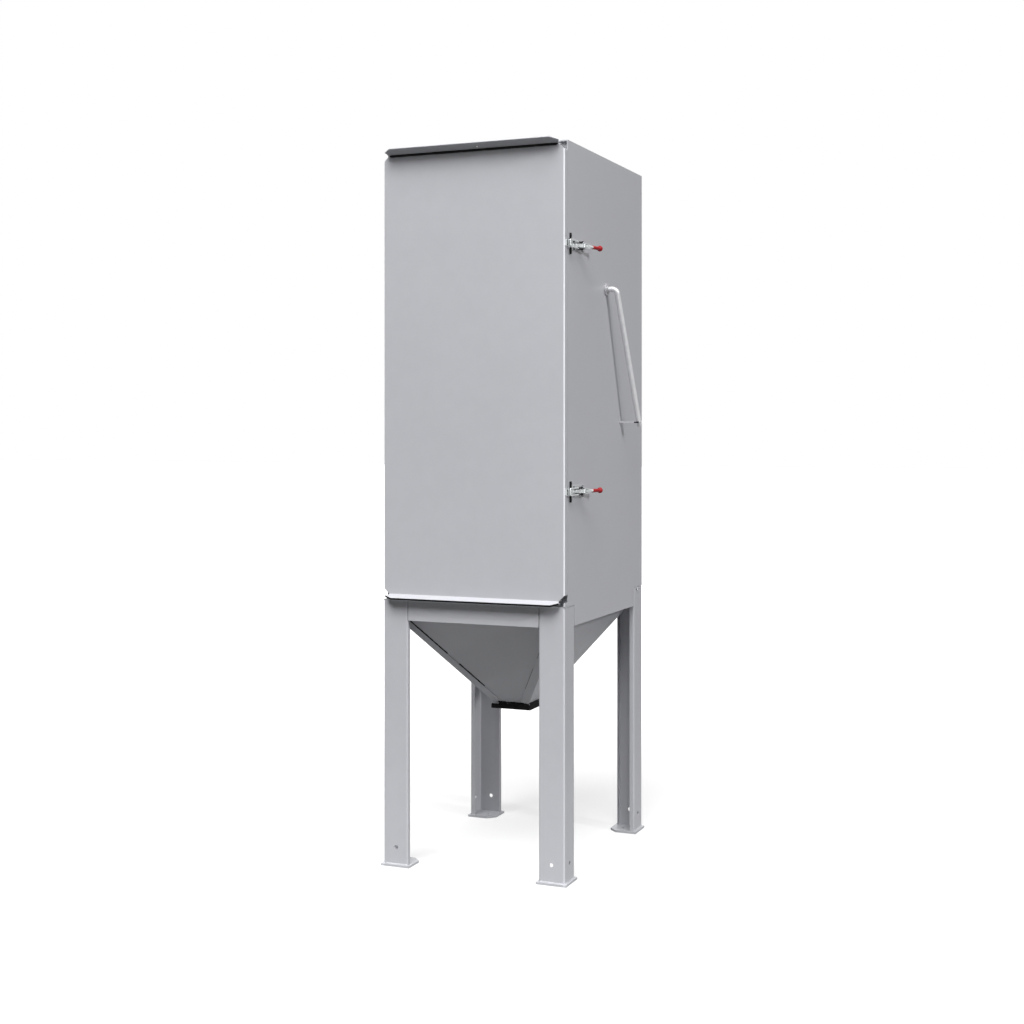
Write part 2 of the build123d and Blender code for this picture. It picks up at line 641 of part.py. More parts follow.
def lever_bush():
    """The flanged bush where the shaker shaft comes out of the clamp side."""
    level = SHAFT_LEVEL
    bush = rod((INNER_SIDE - BUSH_INSIDE, 0, level), (SIDE + BUSH_LENGTH - BUSH_SHORT, 0, level), BUSH_HUB_R)
    bush += rod((SIDE, 0, level), (SIDE + BUSH_FLANGE, 0, level), BUSH_FLANGE_R)
    bore = rod((0, 0, level), (WIDTH, 0, level), SHAFT_R + RUNNING)
    return bush - bore


def shaft_bearing():
    """The plain bearing of the shaker shaft on the inside of the other wall."""
    level = SHAFT_LEVEL
    boss = rod((-INNER_SIDE, 0, level), (-INNER_SIDE + BEARING_LENGTH, 0, level), BEARING_R)
    return boss - rod((-INNER_SIDE + 1, 0, level), (0, 0, level), SHAFT_R + RUNNING)


def lever_points():
    """The lever's centre line: out of the bush, then down, back and away from the wall."""
    start = Vector(SIDE + BUSH_LENGTH, 0, SHAFT_LEVEL)
    knee = Vector(SIDE + LEVER_OUT, 0, SHAFT_LEVEL)
    end = knee + Vector(LEVER_SPREAD, LEVER_BACK, -LEVER_DROP)
    return start, knee, end


def shaker_lever():
    """The bent hand lever of the shaker shaft."""
    start, knee, end = lever_points()
    path = FilletPolyline(start, knee, end, radius=LEVER_BEND_R)
    bar = sweep(Plane(origin=start, z_dir=(1, 0, 0)) * Circle(LEVER_R), path=path)
    tip = bar.faces().sort_by(Axis.Z)[0]
    return chamfer(tip.edges(), LEVER_R / 5)


def lever_peg():
    """The parking peg that the lever leans on, just in front of its lower end."""
    _, knee, end = lever_points()
    share = 1 - PEG_ABOVE_END / LEVER_DROP
    on_rod = knee + (end - knee) * share
    lean = atan2(LEVER_BACK, LEVER_DROP)
    y = on_rod.Y - (LEVER_R + PEG_R + FIT) / cos(lean)
    z = on_rod.Z
    peg = rod((SIDE, y, z), (on_rod.X + PEG_PAST_ROD, y, z), PEG_R)
    return peg + rod((SIDE, y, z), (SIDE + PEG_WASHER, y, z), PEG_WASHER_R)


def clamp_place(level):
    """Clamp frame: x away from the clamp side's wall, y back from the door's face, z up."""
    return Pos(SIDE, FRONT, level)


def clamp_bracket(level):
    """A clamp's base on the wall: a tee plate with a standing front edge and a round-nosed lug."""
    head_end = CLAMP_BASE_FRONT + CLAMP_HEAD_LENGTH
    base = box(0, CLAMP_BASE, CLAMP_BASE_FRONT, head_end, -CLAMP_HEAD_HALF, CLAMP_HEAD_HALF)
    base += box(0, CLAMP_BASE, head_end - EPS, CLAMP_TAIL_END, -CLAMP_TAIL_HALF, CLAMP_TAIL_HALF)
    base += box(0, CLAMP_EDGE_OUT, CLAMP_BASE_FRONT, CLAMP_BASE_FRONT + CLAMP_BASE,
                -CLAMP_HEAD_HALF, CLAMP_HEAD_HALF)
    outline = [(0, LUG_FRONT), (LUG_TOE, LUG_FRONT)]
    outline += [(CLAMP_PIVOT_OUT - LUG_SHOULDER, CLAMP_PIVOT_BACK - LUG_R)]
    outline += [(CLAMP_PIVOT_OUT, CLAMP_PIVOT_BACK), (CLAMP_PIVOT_OUT, CLAMP_PIVOT_BACK + LUG_R)]
    outline += [(0, CLAMP_PIVOT_BACK + LUG_R)]
    pivot = (CLAMP_PIVOT_OUT, CLAMP_PIVOT_BACK)
    base += flat(outline, Plane(origin=(0, 0, -LUG_HALF)), 2 * LUG_HALF)
    base += rod((*pivot, -LUG_HALF), (*pivot, LUG_HALF), LUG_R)
    base -= rod((*pivot, -3 * LUG_HALF), (*pivot, 3 * LUG_HALF), CLAMP_PIN_R + RUNNING)
    return clamp_place(level) * base


def hook_pivot():
    """The hook's pivot in the clamp frame, behind the handle's pivot and nearer the wall."""
    return CLAMP_PIVOT_OUT - HOOK_PIVOT_IN, CLAMP_PIVOT_BACK + HOOK_PIVOT_BACK


def along_handle(distance):
    """A point on the handle's centre line in the clamp frame, measured from its pivot."""
    lean = radians(HANDLE_LEAN)
    return CLAMP_PIVOT_OUT + distance * sin(lean), CLAMP_PIVOT_BACK + distance * cos(lean)


def handle_frame():
    """The handle's own frame: z along the handle, from its pivot."""
    lean = radians(HANDLE_LEAN)
    return Plane(origin=(*along_handle(0), 0), x_dir=(0, 0, 1), z_dir=(sin(lean), cos(lean), 0))


def clamp_handle(level):
    """A clamp's steel handle: two cheeks round the lug, both pins and a tapered neck."""
    pivot, hook = along_handle(0), hook_pivot()
    handle = rod((*pivot, -CHEEK_OUTER), (*pivot, CHEEK_OUTER), CLAMP_PIN_R)
    pin_half = HOOK_HALF + HOOK_WIRE_R + CHEEK_GAP
    handle += rod((*hook, -pin_half), (*hook, pin_half), HOOK_WIRE_R)
    neck = along_handle(HANDLE_START + LUG_R)
    lean = radians(HANDLE_LEAN)
    across = (cos(lean) * HANDLE_NECK_R, -sin(lean) * HANDLE_NECK_R)
    outline = [(pivot[0] + across[0], pivot[1] + across[1] - LUG_R / 2)]
    outline += [(neck[0] + across[0], neck[1] + across[1]), (neck[0] - across[0], neck[1] - across[1])]
    outline += [(hook[0] - HOOK_WIRE_R, hook[1] + HOOK_EYE_R), (hook[0] - HOOK_EYE_R, hook[1])]
    outline += [(hook[0] - HOOK_WIRE_R, hook[1] - HOOK_EYE_R)]
    outline += [(pivot[0] - HOOK_EYE_R, pivot[1] - HOOK_EYE_R)]
    for low in (-CHEEK_OUTER, CHEEK_INNER):
        handle += flat(outline, Plane(origin=(0, 0, low)), CHEEK)
    grip_end = GRIP_START + LUG_R
    frame = handle_frame()
    start = HANDLE_START
    block = loft([frame.offset(start) * Rectangle(2 * CHEEK_OUTER, 2 * HANDLE_NECK_R),
                  frame.offset(GRIP_START - LUG_R) * Circle(HANDLE_NECK_R)])
    handle += block
    handle += rod((*along_handle(GRIP_START - LUG_R - 1), 0), (*along_handle(grip_end), 0), HANDLE_NECK_R)
    return clamp_place(level) * handle


def clamp_grip(level):
    """A clamp's red grip: a tapered sleeve on the neck, ending in a ball."""
    profile = [(0, GRIP_START), (GRIP_R, GRIP_START), (GRIP_WAIST_R, GRIP_START + 6 * LUG_HALF)]
    profile += [(GRIP_WAIST_R, BALL_CENTRE), (0, BALL_CENTRE)]
    sleeve = revolve(Plane.XZ * make_face(Polyline(*profile, close=True)), Axis.Z)
    sleeve += Pos(0, 0, BALL_CENTRE) * Sphere(BALL_R)
    sleeve -= Pos(0, 0, GRIP_START + LUG_R / 2) * Cylinder(HANDLE_NECK_R, LUG_R)
    return clamp_place(level) * (handle_frame().location * sleeve)


def clamp_hook(level):
    """A clamp's wire hook: two arms with eyes on the handle's cross pin and a bar over the keeper."""
    out, back = hook_pivot()
    root = back - HOOK_EYE_R + HOOK_EYE_LAP
    path = FilletPolyline((out, root, -HOOK_HALF), (out, HOOK_BAR_BACK, -HOOK_HALF),
                          (out, HOOK_BAR_BACK, HOOK_HALF), (out, root, HOOK_HALF), radius=HOOK_BEND_R)
    wire = Plane(origin=(out, root, -HOOK_HALF), z_dir=(0, -1, 0)) * Circle(HOOK_WIRE_R)
    hook = sweep(wire, path=path)
    for centre in (-HOOK_HALF, HOOK_HALF):
        low, high = centre - HOOK_EYE_HALF, centre + HOOK_EYE_HALF
        hook += rod((out, back, low), (out, back, high), HOOK_EYE_R)
    bore = rod((out, back, -2 * HOOK_HALF), (out, back, 2 * HOOK_HALF), HOOK_WIRE_R + RUNNING)
    return clamp_place(level) * (hook - bore)


def keeper(level):
    """A keeper on the door's edge: a saddle that the hook's bar rests over."""
    out, _ = hook_pivot()
    crest = out - HOOK_WIRE_R - KEEPER_CLEAR
    end = KEEPER_FRONT + KEEPER_LENGTH
    thick = KEEPER_THICKNESS
    outline = [(0, KEEPER_FRONT), (KEEPER_NOSE, KEEPER_FRONT + thick), (thick, KEEPER_FRONT + KEEPER_SADDLE)]
    outline += [(thick, end - KEEPER_SADDLE), (crest, end - KEEPER_CREST), (crest, end - thick), (0, end)]
    return clamp_place(level) * flat(outline, Plane(origin=(0, 0, -KEEPER_HALF)), 2 * KEEPER_HALF)


def main():
    """Builds every piece and writes its file."""
    os.makedirs("parts", exist_ok=True)
    write("left_wall", side_wall(-1))
    write("right_wall", side_wall(1))
    write("back_wall", back_wall())
    write("roof_panel", roof_panel())
    write("front_rail", front_rail())
    write("base_ring", base_ring())
    write("tube_sheet", deck())
    write("bag_thimbles", bag_thimbles())
    corners = {"front_left": (-1, -1), "front_right": (1, -1), "back_left": (-1, 1), "back_right": (1, 1)}
    for name, signs in corners.items():
        write(f"leg_{name}", leg(*signs))
    write("foot_plates", Compound(children=[foot_plate(*signs) for signs in corners.values()]))
    write("front_frame", front_frame())
    write("frame_rim", frame_rim())
    write("door_seal", door_seal())
    write("door_panel", door_panel())
    write("door_stiffeners", door_stiffeners())
    write("hinge_lower", lower_hinge())
    write("hinge_upper", upper_hinge())
    for name in ("front", "back", "left", "right"):
        write(f"hopper_{name}", hopper_side(name))
    write("hopper_strips", hopper_strips())
    write("outlet_flange", outlet_flange())
    write("outlet_gasket", outlet_gasket())
    write("inlet_spigot", inlet_spigot())
    write("air_outlet", air_outlet())
    write("filter_bags", filter_bags())
    write("hanger_angles", hanger_angles())
    write("hanger_bars", hanger_bars())
    write("shaker_shaft", shaker_shaft())
    write("lever_bush", lever_bush())
    write("shaft_bearing", shaft_bearing())
    write("shaker_lever", shaker_lever())
    write("lever_peg", lever_peg())
    levels = CLAMP_LEVELS.values()
    write("clamp_brackets", Compound(children=[clamp_bracket(level) for level in levels]))
    write("door_keepers", Compound(children=[keeper(level) for level in levels]))
    for name, level in CLAMP_LEVELS.items():
        write(f"clamp_handle_{name}", clamp_handle(level))
        write(f"clamp_grip_{name}", clamp_grip(level))
        write(f"clamp_hook_{name}", clamp_hook(level))


main()
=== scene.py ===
import logging
import math
from dataclasses import dataclass
from enum import Enum
from typing import Any, Sequence

import bmesh
import bpy
import numpy as np
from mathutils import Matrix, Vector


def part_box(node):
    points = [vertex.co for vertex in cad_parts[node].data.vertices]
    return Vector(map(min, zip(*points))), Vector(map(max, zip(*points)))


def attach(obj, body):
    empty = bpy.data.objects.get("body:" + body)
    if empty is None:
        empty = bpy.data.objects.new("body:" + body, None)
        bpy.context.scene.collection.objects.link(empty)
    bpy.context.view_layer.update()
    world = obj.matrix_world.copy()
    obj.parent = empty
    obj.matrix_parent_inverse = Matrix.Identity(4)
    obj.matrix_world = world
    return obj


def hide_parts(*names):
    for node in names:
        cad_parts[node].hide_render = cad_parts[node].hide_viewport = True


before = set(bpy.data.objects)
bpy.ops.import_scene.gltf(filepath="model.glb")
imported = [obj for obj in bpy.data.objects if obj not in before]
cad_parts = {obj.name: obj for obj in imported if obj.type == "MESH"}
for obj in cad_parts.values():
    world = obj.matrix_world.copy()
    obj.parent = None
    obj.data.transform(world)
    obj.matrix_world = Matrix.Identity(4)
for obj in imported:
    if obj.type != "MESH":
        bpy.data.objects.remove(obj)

# The dust collector's looks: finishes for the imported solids, and the small parts that stand in for
# the plainest of them or are fastened to them. Metres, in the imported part's own frame.

LOG = logging.getLogger("dust_collector")
Array = np.ndarray

# The outer faces of the right wall, the door and the back wall, and the heights of the two clamps.
SIDE, FRONT, BACK = 0.3525, -0.4325, 0.4325
CLAMP_LEVELS = {"upper": 2.239, "lower": 1.370}


class Body(Enum):
    """The bodies that pieces ride on."""

    CABINET = "cabinet"
    DOOR = "door"
    SHAKER = "shaker"
    HANDLE_UPPER = "handle_upper"
    HANDLE_LOWER = "handle_lower"
    HOOK_UPPER = "hook_upper"
    HOOK_LOWER = "hook_lower"


class Slot(Enum):
    """The record's material slots."""

    PAINT = "grey_paint"
    ZINC = "zinc_sheet"
    RUBBER = "black_rubber"
    FELT = "filter_felt"
    BRIGHT = "bright_steel"
    DARK = "dark_steel"
    TURNED = "turned_steel"
    RED = "red_plastic"


# Shader maths


class Value:
    """A node's number or vector socket; Python's operators on it add Math nodes."""

    def __init__(self, tree: "Tree", socket: bpy.types.NodeSocket) -> None:
        """Wraps a socket.

        Args:
            tree: The node tree that the socket is in.
            socket: The output socket.
        """
        self.tree = tree
        self.socket = socket

    def math(self, operation: str, other: Any, swapped: bool = False, clamp: bool = False) -> "Value":
        """One Math node on this value and another.

        Args:
            operation: The Math node's operation.
            other: A number or another value.
            swapped: Whether the other value comes first.
            clamp: Whether the result is held between 0 and 1.

        Returns:
            The result as a value.
        """
        pair = (other, self) if swapped else (self, other)
        settings = {"operation": operation, "use_clamp": clamp}
        return self.tree.node("ShaderNodeMath", settings, {0: pair[0], 1: pair[1]})

    def __add__(self, other: Any) -> "Value":
        """This plus another."""
        return self.math("ADD", other)

    def __radd__(self, other: Any) -> "Value":
        """Another plus this."""
        return self.math("ADD", other, swapped=True)

    def __sub__(self, other: Any) -> "Value":
        """This minus another."""
        return self.math("SUBTRACT", other)

    def __rsub__(self, other: Any) -> "Value":
        """Another minus this."""
        return self.math("SUBTRACT", other, swapped=True)

    def __mul__(self, other: Any) -> "Value":
        """This times another."""
        return self.math("MULTIPLY", other)

    def __rmul__(self, other: Any) -> "Value":
        """Another times this."""
        return self.math("MULTIPLY", other, swapped=True)

    def ramp(self, low: float, high: float, start: float = 0.0, end: float = 1.0) -> "Value":
        """A smooth step over a range.

        Args:
            low: The value that gives start.
            high: The value that gives end.
            start: The result below the range.
            end: The result above the range.

        Returns:
            The stepped value.
        """
        settings = {"interpolation_type": "SMOOTHSTEP"}
        values = {"Value": self, "From Min": low, "From Max": high, "To Min": start, "To Max": end}
        return self.tree.node("ShaderNodeMapRange", settings, values)


class Tree:
    """A material and its nodes, all of which come from one method."""

    def __init__(self, name: str) -> None:
        """Starts an empty material.

        Args:
            name: The material's name.
        """
        self.material = bpy.data.materials.new(name)
        self.material.use_nodes = True
        self.nodes = self.material.node_tree
        self.nodes.nodes.clear()

    @classmethod
    def over(cls, nodes: bpy.types.NodeTree) -> "Tree":
        """Starts afresh in a node tree that isn't a material's.

        Args:
            nodes: The node tree.

        Returns:
            The tree.
        """
        tree = cls.__new__(cls)
        tree.nodes = nodes
        tree.nodes.nodes.clear()
        return tree

    def node(self, kind: str, settings: dict[str, Any] | None = None,
             values: dict[Any, Any] | None = None, out: Any = 0) -> Value:
        """Adds a node.

        Args:
            kind: The node's type.
            settings: Its attributes, set before its sockets; stops are a ramp's positions and colours.
            values: Its input sockets' numbers, colours or links, by name or index.
            out: The output socket that is wanted, by name or index.

        Returns:
            The wanted output as a value.
        """
        made = self.nodes.nodes.new(kind)
        for key, setting in (settings or {}).items():
            if key == "stops":
                self._set_stops(made.color_ramp, setting)
            else:
                setattr(made, key, setting)
        for key, value in (values or {}).items():
            if isinstance(value, Value):
                self.nodes.links.new(value.socket, made.inputs[key])
            else:
                made.inputs[key].default_value = value
        return Value(self, made.outputs[out]) if len(made.outputs) else Value(self, None)

    @staticmethod
    def _set_stops(ramp: bpy.types.ColorRamp, stops: Sequence[tuple[float, tuple[float, ...]]]) -> None:
        """Sets a colour ramp's stops.

        Args:
            ramp: The ramp.
            stops: Pairs of a position and a colour.
        """
        while len(ramp.elements) > len(stops):
            ramp.elements.remove(ramp.elements[-1])
        while len(ramp.elements) < len(stops):
            ramp.elements.new(1.0)
        for element, (position, colour) in zip(ramp.elements, stops):
            element.position = position
            element.color = (*colour, 1.0)

    def place(self) -> Value:
        """The point on the piece, in metres."""
        return self.node("ShaderNodeTexCoord", out="Object")

    def scaled(self, factors: tuple[float, float, float]) -> Value:
        """The point on the piece with each direction scaled, which stretches a pattern.

        Args:
            factors: The scale along X, Y and Z.

        Returns:
            The scaled point.
        """
        return self.node("ShaderNodeVectorMath", {"operation": "MULTIPLY"}, {0: self.place(), 1: factors})

    def along(self, axis: str) -> Value:
        """The point's place along one axis.

        Args:
            axis: X, Y or Z.

        Returns:
            The distance from the middle, or the height above the floor.
        """
        return self.node("ShaderNodeSeparateXYZ", values={0: self.place()}, out=axis)

    def noise(self, scale: float, detail: float = 2.0, rough: float = 0.5,
              stretch: tuple[float, float, float] | None = None) -> Value:
        """A noise pattern from 0 to 1.

        Args:
            scale: Its grains a metre.
            detail: Its octaves.
            rough: How strong the finer octaves are.
            stretch: The scale of each direction, for a drawn-out pattern.

        Returns:
            The pattern's value.
        """
        where = self.scaled(stretch) if stretch else self.place()
        values = {"Vector": where, "Scale": scale, "Detail": detail, "Roughness": rough}
        return self.node("ShaderNodeTexNoise", values=values)

    def mix(self, factor: Any, first: Any, second: Any) -> Value:
        """A mix of two colours.

        Args:
            factor: The second colour's share.
            first: A colour or a value.
            second: A colour or a value.

        Returns:
            The mixed colour.
        """
        values = {0: factor, 6: first, 7: second}
        return self.node("ShaderNodeMix", {"data_type": "RGBA"}, values, out=2)

    def bump(self, height: Value, strength: float, distance: float, below: Value | None = None) -> Value:
        """A bumped normal.

        Args:
            height: The height pattern.
            strength: How strongly it shows.
            distance: The pattern's full height in metres.
            below: Another bumped normal that this one adds to.

        Returns:
            The normal.
        """
        values = {"Height": height, "Strength": strength, "Distance": distance}
        if below is not None:
            values["Normal"] = below
        return self.node("ShaderNodeBump", values=values)

    def finish(self, values: dict[str, Any]) -> bpy.types.Material:
        """Ends the tree with the surface shader.

        Args:
            values: The shader's numbers, colours and links.

        Returns:
            The finished material.
        """
        shader = self.node("ShaderNodeBsdfPrincipled", values=values)
        self.node("ShaderNodeOutputMaterial", values={"Surface": shader})
        return self.material


def shade(colour: Sequence[float], factor: float) -> tuple[float, float, float, float]:
    """A colour made darker or lighter.

    Args:
        colour: The colour.
        factor: What each channel is multiplied by.

    Returns:
        The colour with its alpha.
    """
    return (*(min(1.0, channel * factor) for channel in colour), 1.0)


def link(name: str, data: Any) -> bpy.types.Object:
    """Puts an object in the scene.

    Args:
        name: Its name.
        data: Its mesh, lamp or camera.

    Returns:
        The object.
    """
    made = bpy.data.objects.new(name, data)
    bpy.context.scene.collection.objects.link(made)
    return made


# Mesh building


def unit(vector: Sequence[float]) -> Array:
    """A vector's direction.

    Args:
        vector: The vector.

    Returns:
        The vector at length 1.
    """
    return np.asarray(vector, float) / np.linalg.norm(vector)


def filleted(corners: Sequence[Sequence[float]], radius: float, steps: int = 6) -> Array:
    """A path of straight runs whose corners are rounded with arcs.

    Each arc's points are the two tangent points' radii, blended by the sines of their shares of the turn.

    Args:
        corners: The path's ends and corners.
        radius: The arcs' radius.
        steps: The steps in each arc.

    Returns:
        The path's points.
    """
    corners = np.asarray(corners, float)
    path = [corners[:1]]
    for before, corner, after in zip(corners, corners[1:], corners[2:]):
        back, ahead = unit(before - corner), unit(after - corner)
        half = 0.5 * math.acos(max(-1.0, min(1.0, float(back @ ahead))))
        turn = math.pi - 2.0 * half
        centre = corner + unit(back + ahead) * radius / math.sin(half)
        start = corner + back * radius / math.tan(half) - centre
        end = corner + ahead * radius / math.tan(half) - centre
        share = np.linspace(0.0, 1.0, steps + 1)[:, None]
        arc = (np.sin((1.0 - share) * turn) * start + np.sin(share * turn) * end) / math.sin(turn)
        path.append(centre + arc)
    path.append(corners[-1:])
    return np.concatenate(path)


def rounded_rectangle(middle: Sequence[float], first: Sequence[float], second: Sequence[float],
                      radius: float) -> Array:
    """A rectangle's outline in space, with rounded corners.

    Args:
        middle: Its centre.
        first: Half of its width, as a vector.
        second: Half of its height, as a vector.
        radius: The corners' radius.

    Returns:
        The outline's points.
    """
    quarter = np.linspace(0.0, math.pi / 2.0, 5)
    wide, high = np.linalg.norm(first), np.linalg.norm(second)
    angle = np.concatenate([quarter + turn * math.pi / 2.0 for turn in range(4)])
    side = np.repeat([[1, 1], [-1, 1], [-1, -1], [1, -1]], quarter.size, axis=0)
    flat = side * [wide - radius, high - radius] + radius * np.column_stack([np.cos(angle), np.sin(angle)])
    return np.asarray(middle, float) + flat[:, :1] * unit(first) + flat[:, 1:] * unit(second)


def circle(radius: float, sides: int) -> Array:
    """A circle's points.

    Args:
        radius: Its radius.
        sides: Its points.

    Returns:
        The points, as rows of two.
    """
    angle = np.linspace(0.0, 2.0 * math.pi, sides, endpoint=False)
    return radius * np.column_stack([np.cos(angle), np.sin(angle)])


class Shell:
    """A mesh put together from skins over rows of points, then made into one piece."""

    def __init__(self) -> None:
        """Starts an empty mesh."""
        self.points: list[Array] = []
        self.quads: list[Array] = []
        self.caps: list[list[int]] = []
        self.count = 0

    def skin(self, rows: Array, closed: bool = True, capped: bool = False) -> "Shell":
        """A skin of quads over rows of points.

        Args:
            rows: The points, as rows by columns by three.
            closed: Whether each row's end joins its start.
            capped: Whether the first and last rows are filled.

        Returns:
            The shell itself.
        """
        height, width = rows.shape[:2]
        index = self.count + np.arange(height * width).reshape(height, width)
        ring = np.column_stack([index, index[:, :1]]) if closed else index
        quads = np.stack([ring[:-1, :-1], ring[:-1, 1:], ring[1:, 1:], ring[1:, :-1]], axis=-1)
        self.points.append(rows.reshape(-1, 3))
        self.quads.append(quads.reshape(-1, 4))
        if capped:
            self.caps += [index[0, ::-1].tolist(), index[-1].tolist()]
        self.count += height * width
        return self

    def turn(self, profile: Sequence[tuple[float, float]], origin: Sequence[float],
             axis: Sequence[float], sides: int = 32) -> "Shell":
        """Revolves a profile about an axis.

        Args:
            profile: Pairs of a distance along the axis and a radius; a radius of 0 closes an end.
            origin: The axis's start.
            axis: Its direction.
            sides: The skin's sides.

        Returns:
            The shell itself.
        """
        along = unit(axis)
        side = unit(np.cross(along, (0.31, 0.52, 0.79)))
        ring = circle(1.0, sides) @ np.stack([side, np.cross(along, side)])
        profile = np.asarray(profile, float)
        middle = np.asarray(origin, float) + profile[:, :1] * along
        return self.skin(middle[:, None] + profile[:, 1, None, None] * ring)

    def sweep(self, outline: Array, path: Array, level: Sequence[float]) -> "Shell":
        """Sweeps an outline along a path that lies in a plane.

        Args:
            outline: The outline's points, as rows of two: across the path in the plane, and along level.
            path: The path's points.
            level: The plane's normal.

        Returns:
            The shell itself.
        """
        ahead = np.gradient(path, axis=0)
        across = np.cross(ahead, unit(level))
        across /= np.linalg.norm(across, axis=1, keepdims=True)
        rows = path[:, None] + outline[None, :, :1] * across[:, None] + outline[None, :, 1:] * unit(level)
        return self.skin(rows, capped=True)

    def bar(self, outline: Array, way: Sequence[float], ease: float) -> "Shell":
        """A bar: an outline carried along, with both ends drawn in a little.

        Args:
            outline: The outline's points in space, at the bar's start.
            way: From its start to its end.
            ease: How far the ends' edges are eased.

        Returns:
            The shell itself.
        """
        middle = outline.mean(axis=0)
        way, step = np.asarray(way, float), unit(way) * ease
        narrow = middle + (outline - middle) * (1.0 - ease / np.linalg.norm(outline - middle, axis=1).min())
        return self.skin(np.stack([narrow, outline + step, outline + way - step, narrow + way]), capped=True)

    def bead(self, start: Sequence[float], end: Sequence[float], first: Sequence[float],
             second: Sequence[float], ripple: float = 0.0, seed: int = 0) -> "Shell":
        """A bead laid in a corner: a quarter round whose size wanders a little along it.

        Args:
            start: Its start, in the corner.
            end: Its end.
            first: From the corner along one face, as long as the bead is wide.
            second: From the corner along the other face.
            ripple: How much its size wanders, as a share.
            seed: The seed of the wandering.

        Returns:
            The shell itself.
        """
        start, end = np.asarray(start, float), np.asarray(end, float)
        along = np.linspace(0.0, 1.0, max(12, int(np.linalg.norm(end - start) / 0.003)))
        chance = np.random.default_rng(seed)
        wave = sum(np.sin(along * turns + chance.uniform(0.0, 6.3)) for turns in (17.0, 61.0, 143.0)) / 3.0
        size = (1.0 + ripple * wave) * np.clip(np.minimum(along, 1.0 - along) * 60.0 + 0.35, 0.0, 1.0)
        arc = np.linspace(0.0, math.pi / 2.0, 6)[:, None]
        outline = np.concatenate([np.cos(arc) * np.asarray(first) + np.sin(arc) * np.asarray(second),
                                  [-0.08 * (np.asarray(first) + np.asarray(second))]])
        middle = start + along[:, None] * (end - start)
        return self.skin(middle[:, None] + size[:, None, None] * outline, capped=True)

    def screw(self, place: Sequence[float], axis: Sequence[float], across: float, high: float) -> "Shell":
        """A hexagon screw head on its washer.

        Args:
            place: The point on the sheet that it is screwed to.
            axis: The way that it stands out.
            across: The head's width over its corners.
            high: The head's height.

        Returns:
            The shell itself.
        """
        thin = 0.16 * high
        rim = 0.72 * across
        self.turn([(0, 0), (0, rim), (thin * 0.8, rim), (thin, rim - thin * 0.3), (thin, 0)], place, axis)
        half = 0.5 * across
        hexagon = [(thin, 0), (thin, half), (0.84 * high, half), (high, 0.86 * half), (high, 0)]
        return self.turn(hexagon, place, axis, sides=6)

    def piece(self, name: str, finish: bpy.types.Material, slot: Slot, body: Body,
              instead_of: Sequence[str] = (), crease: float = 35.0) -> bpy.types.Object:
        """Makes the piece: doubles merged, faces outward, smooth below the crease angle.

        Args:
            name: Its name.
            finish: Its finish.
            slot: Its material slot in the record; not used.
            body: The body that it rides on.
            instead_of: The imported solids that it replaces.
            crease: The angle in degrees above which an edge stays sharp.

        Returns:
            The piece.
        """
        mesh = bpy.data.meshes.new(name)
        mesh.from_pydata(np.concatenate(self.points).tolist(), [],
                         np.concatenate(self.quads).tolist() + self.caps)
        tidy = bmesh.new()
        tidy.from_mesh(mesh)
        bmesh.ops.remove_doubles(tidy, verts=tidy.verts, dist=1e-6)
        bmesh.ops.recalc_face_normals(tidy, faces=tidy.faces)
        tidy.to_mesh(mesh)
        tidy.free()
        mesh.shade_smooth()
        mesh.set_sharp_from_angle(angle=math.radians(crease))
        mesh.materials.append(finish)
        piece = link(name, mesh)
        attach(piece, body.value)
        if instead_of:
            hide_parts(*instead_of)
        LOG.info("%s: %d points, on %s", name, len(mesh.vertices), body.value)
        return piece


# Finishes


class Dust(Enum):
    """How much dust lies on a painted piece."""

    CLEAN = 0.0
    FILM = 0.45


@dataclass(frozen=True)
class PaintFinish:
    """Satin powder coat: an even grey with a fine orange peel, and a dust film on inner pieces.

    On the outer bends of the door and the front legs the colour is paler, a painted highlight that is weaker
    on the legs.
    """

    colour: tuple[float, float, float] = (0.500, 0.506, 0.535)
    dust_colour: tuple[float, float, float] = (0.42, 0.39, 0.35)
    roughness: float = 0.33
    bend: float = 0.0055
    bend_highlight_tone: float = 1.6
    dust: Dust = Dust.CLEAN

    def material(self) -> bpy.types.Material:
        """The paint's material."""
        tree = Tree(f"satin_grey_paint_{self.dust.name.lower()}")
        broad = tree.noise(1.7, 2.0)
        cloud = tree.noise(22.0, 3.0, 0.6)
        peel = tree.noise(420.0, 1.0)
        grain = tree.noise(2600.0, 1.0)
        tone = (broad * 0.6 + cloud * 0.4).ramp(0.3, 0.7)
        colour = tree.mix(tone, shade(self.colour, 0.975), shade(self.colour, 1.02))
        # Painted highlight: the colour is lightened on the cabinet's front corner bends.
        colour = tree.mix(self._bend_highlights(tree), colour, shade(self.colour, self.bend_highlight_tone))
        rough = cloud.ramp(0.3, 0.7, self.roughness - 0.03, self.roughness + 0.05)
        if self.dust is not Dust.CLEAN:
            film = (tree.noise(9.0, 4.0, 0.65) * 0.7 + tree.noise(90.0, 2.0) * 0.3).ramp(0.32, 0.62)
            cover = film * self.dust.value
            colour = tree.mix(cover, colour, shade(self.dust_colour, 1.0))
            rough = rough + cover * 0.4
        normal = tree.bump(grain, 0.04, 0.00002, tree.bump(peel, 0.05, 0.00008))
        return tree.finish({"Base Color": colour, "Roughness": rough, "Normal": normal,
                            "Specular IOR Level": 0.40})

    def _bend_highlights(self, tree: Tree) -> Value:
        """Where the painted highlight lies: the strips next to both front corners of the cabinet, weaker
        below the door.

        Args:
            tree: The material's nodes.

        Returns:
            The factor, 1 on the bends.
        """
        beside = tree.along("X").math("ABSOLUTE", 0.0).ramp(SIDE - self.bend, SIDE - 0.5 * self.bend)
        ahead = tree.along("Y").ramp(FRONT + 0.5 * self.bend, FRONT + self.bend, 1.0, 0.0)
        return beside * ahead * tree.along("Z").ramp(0.984, 0.990, 0.35, 1.0)


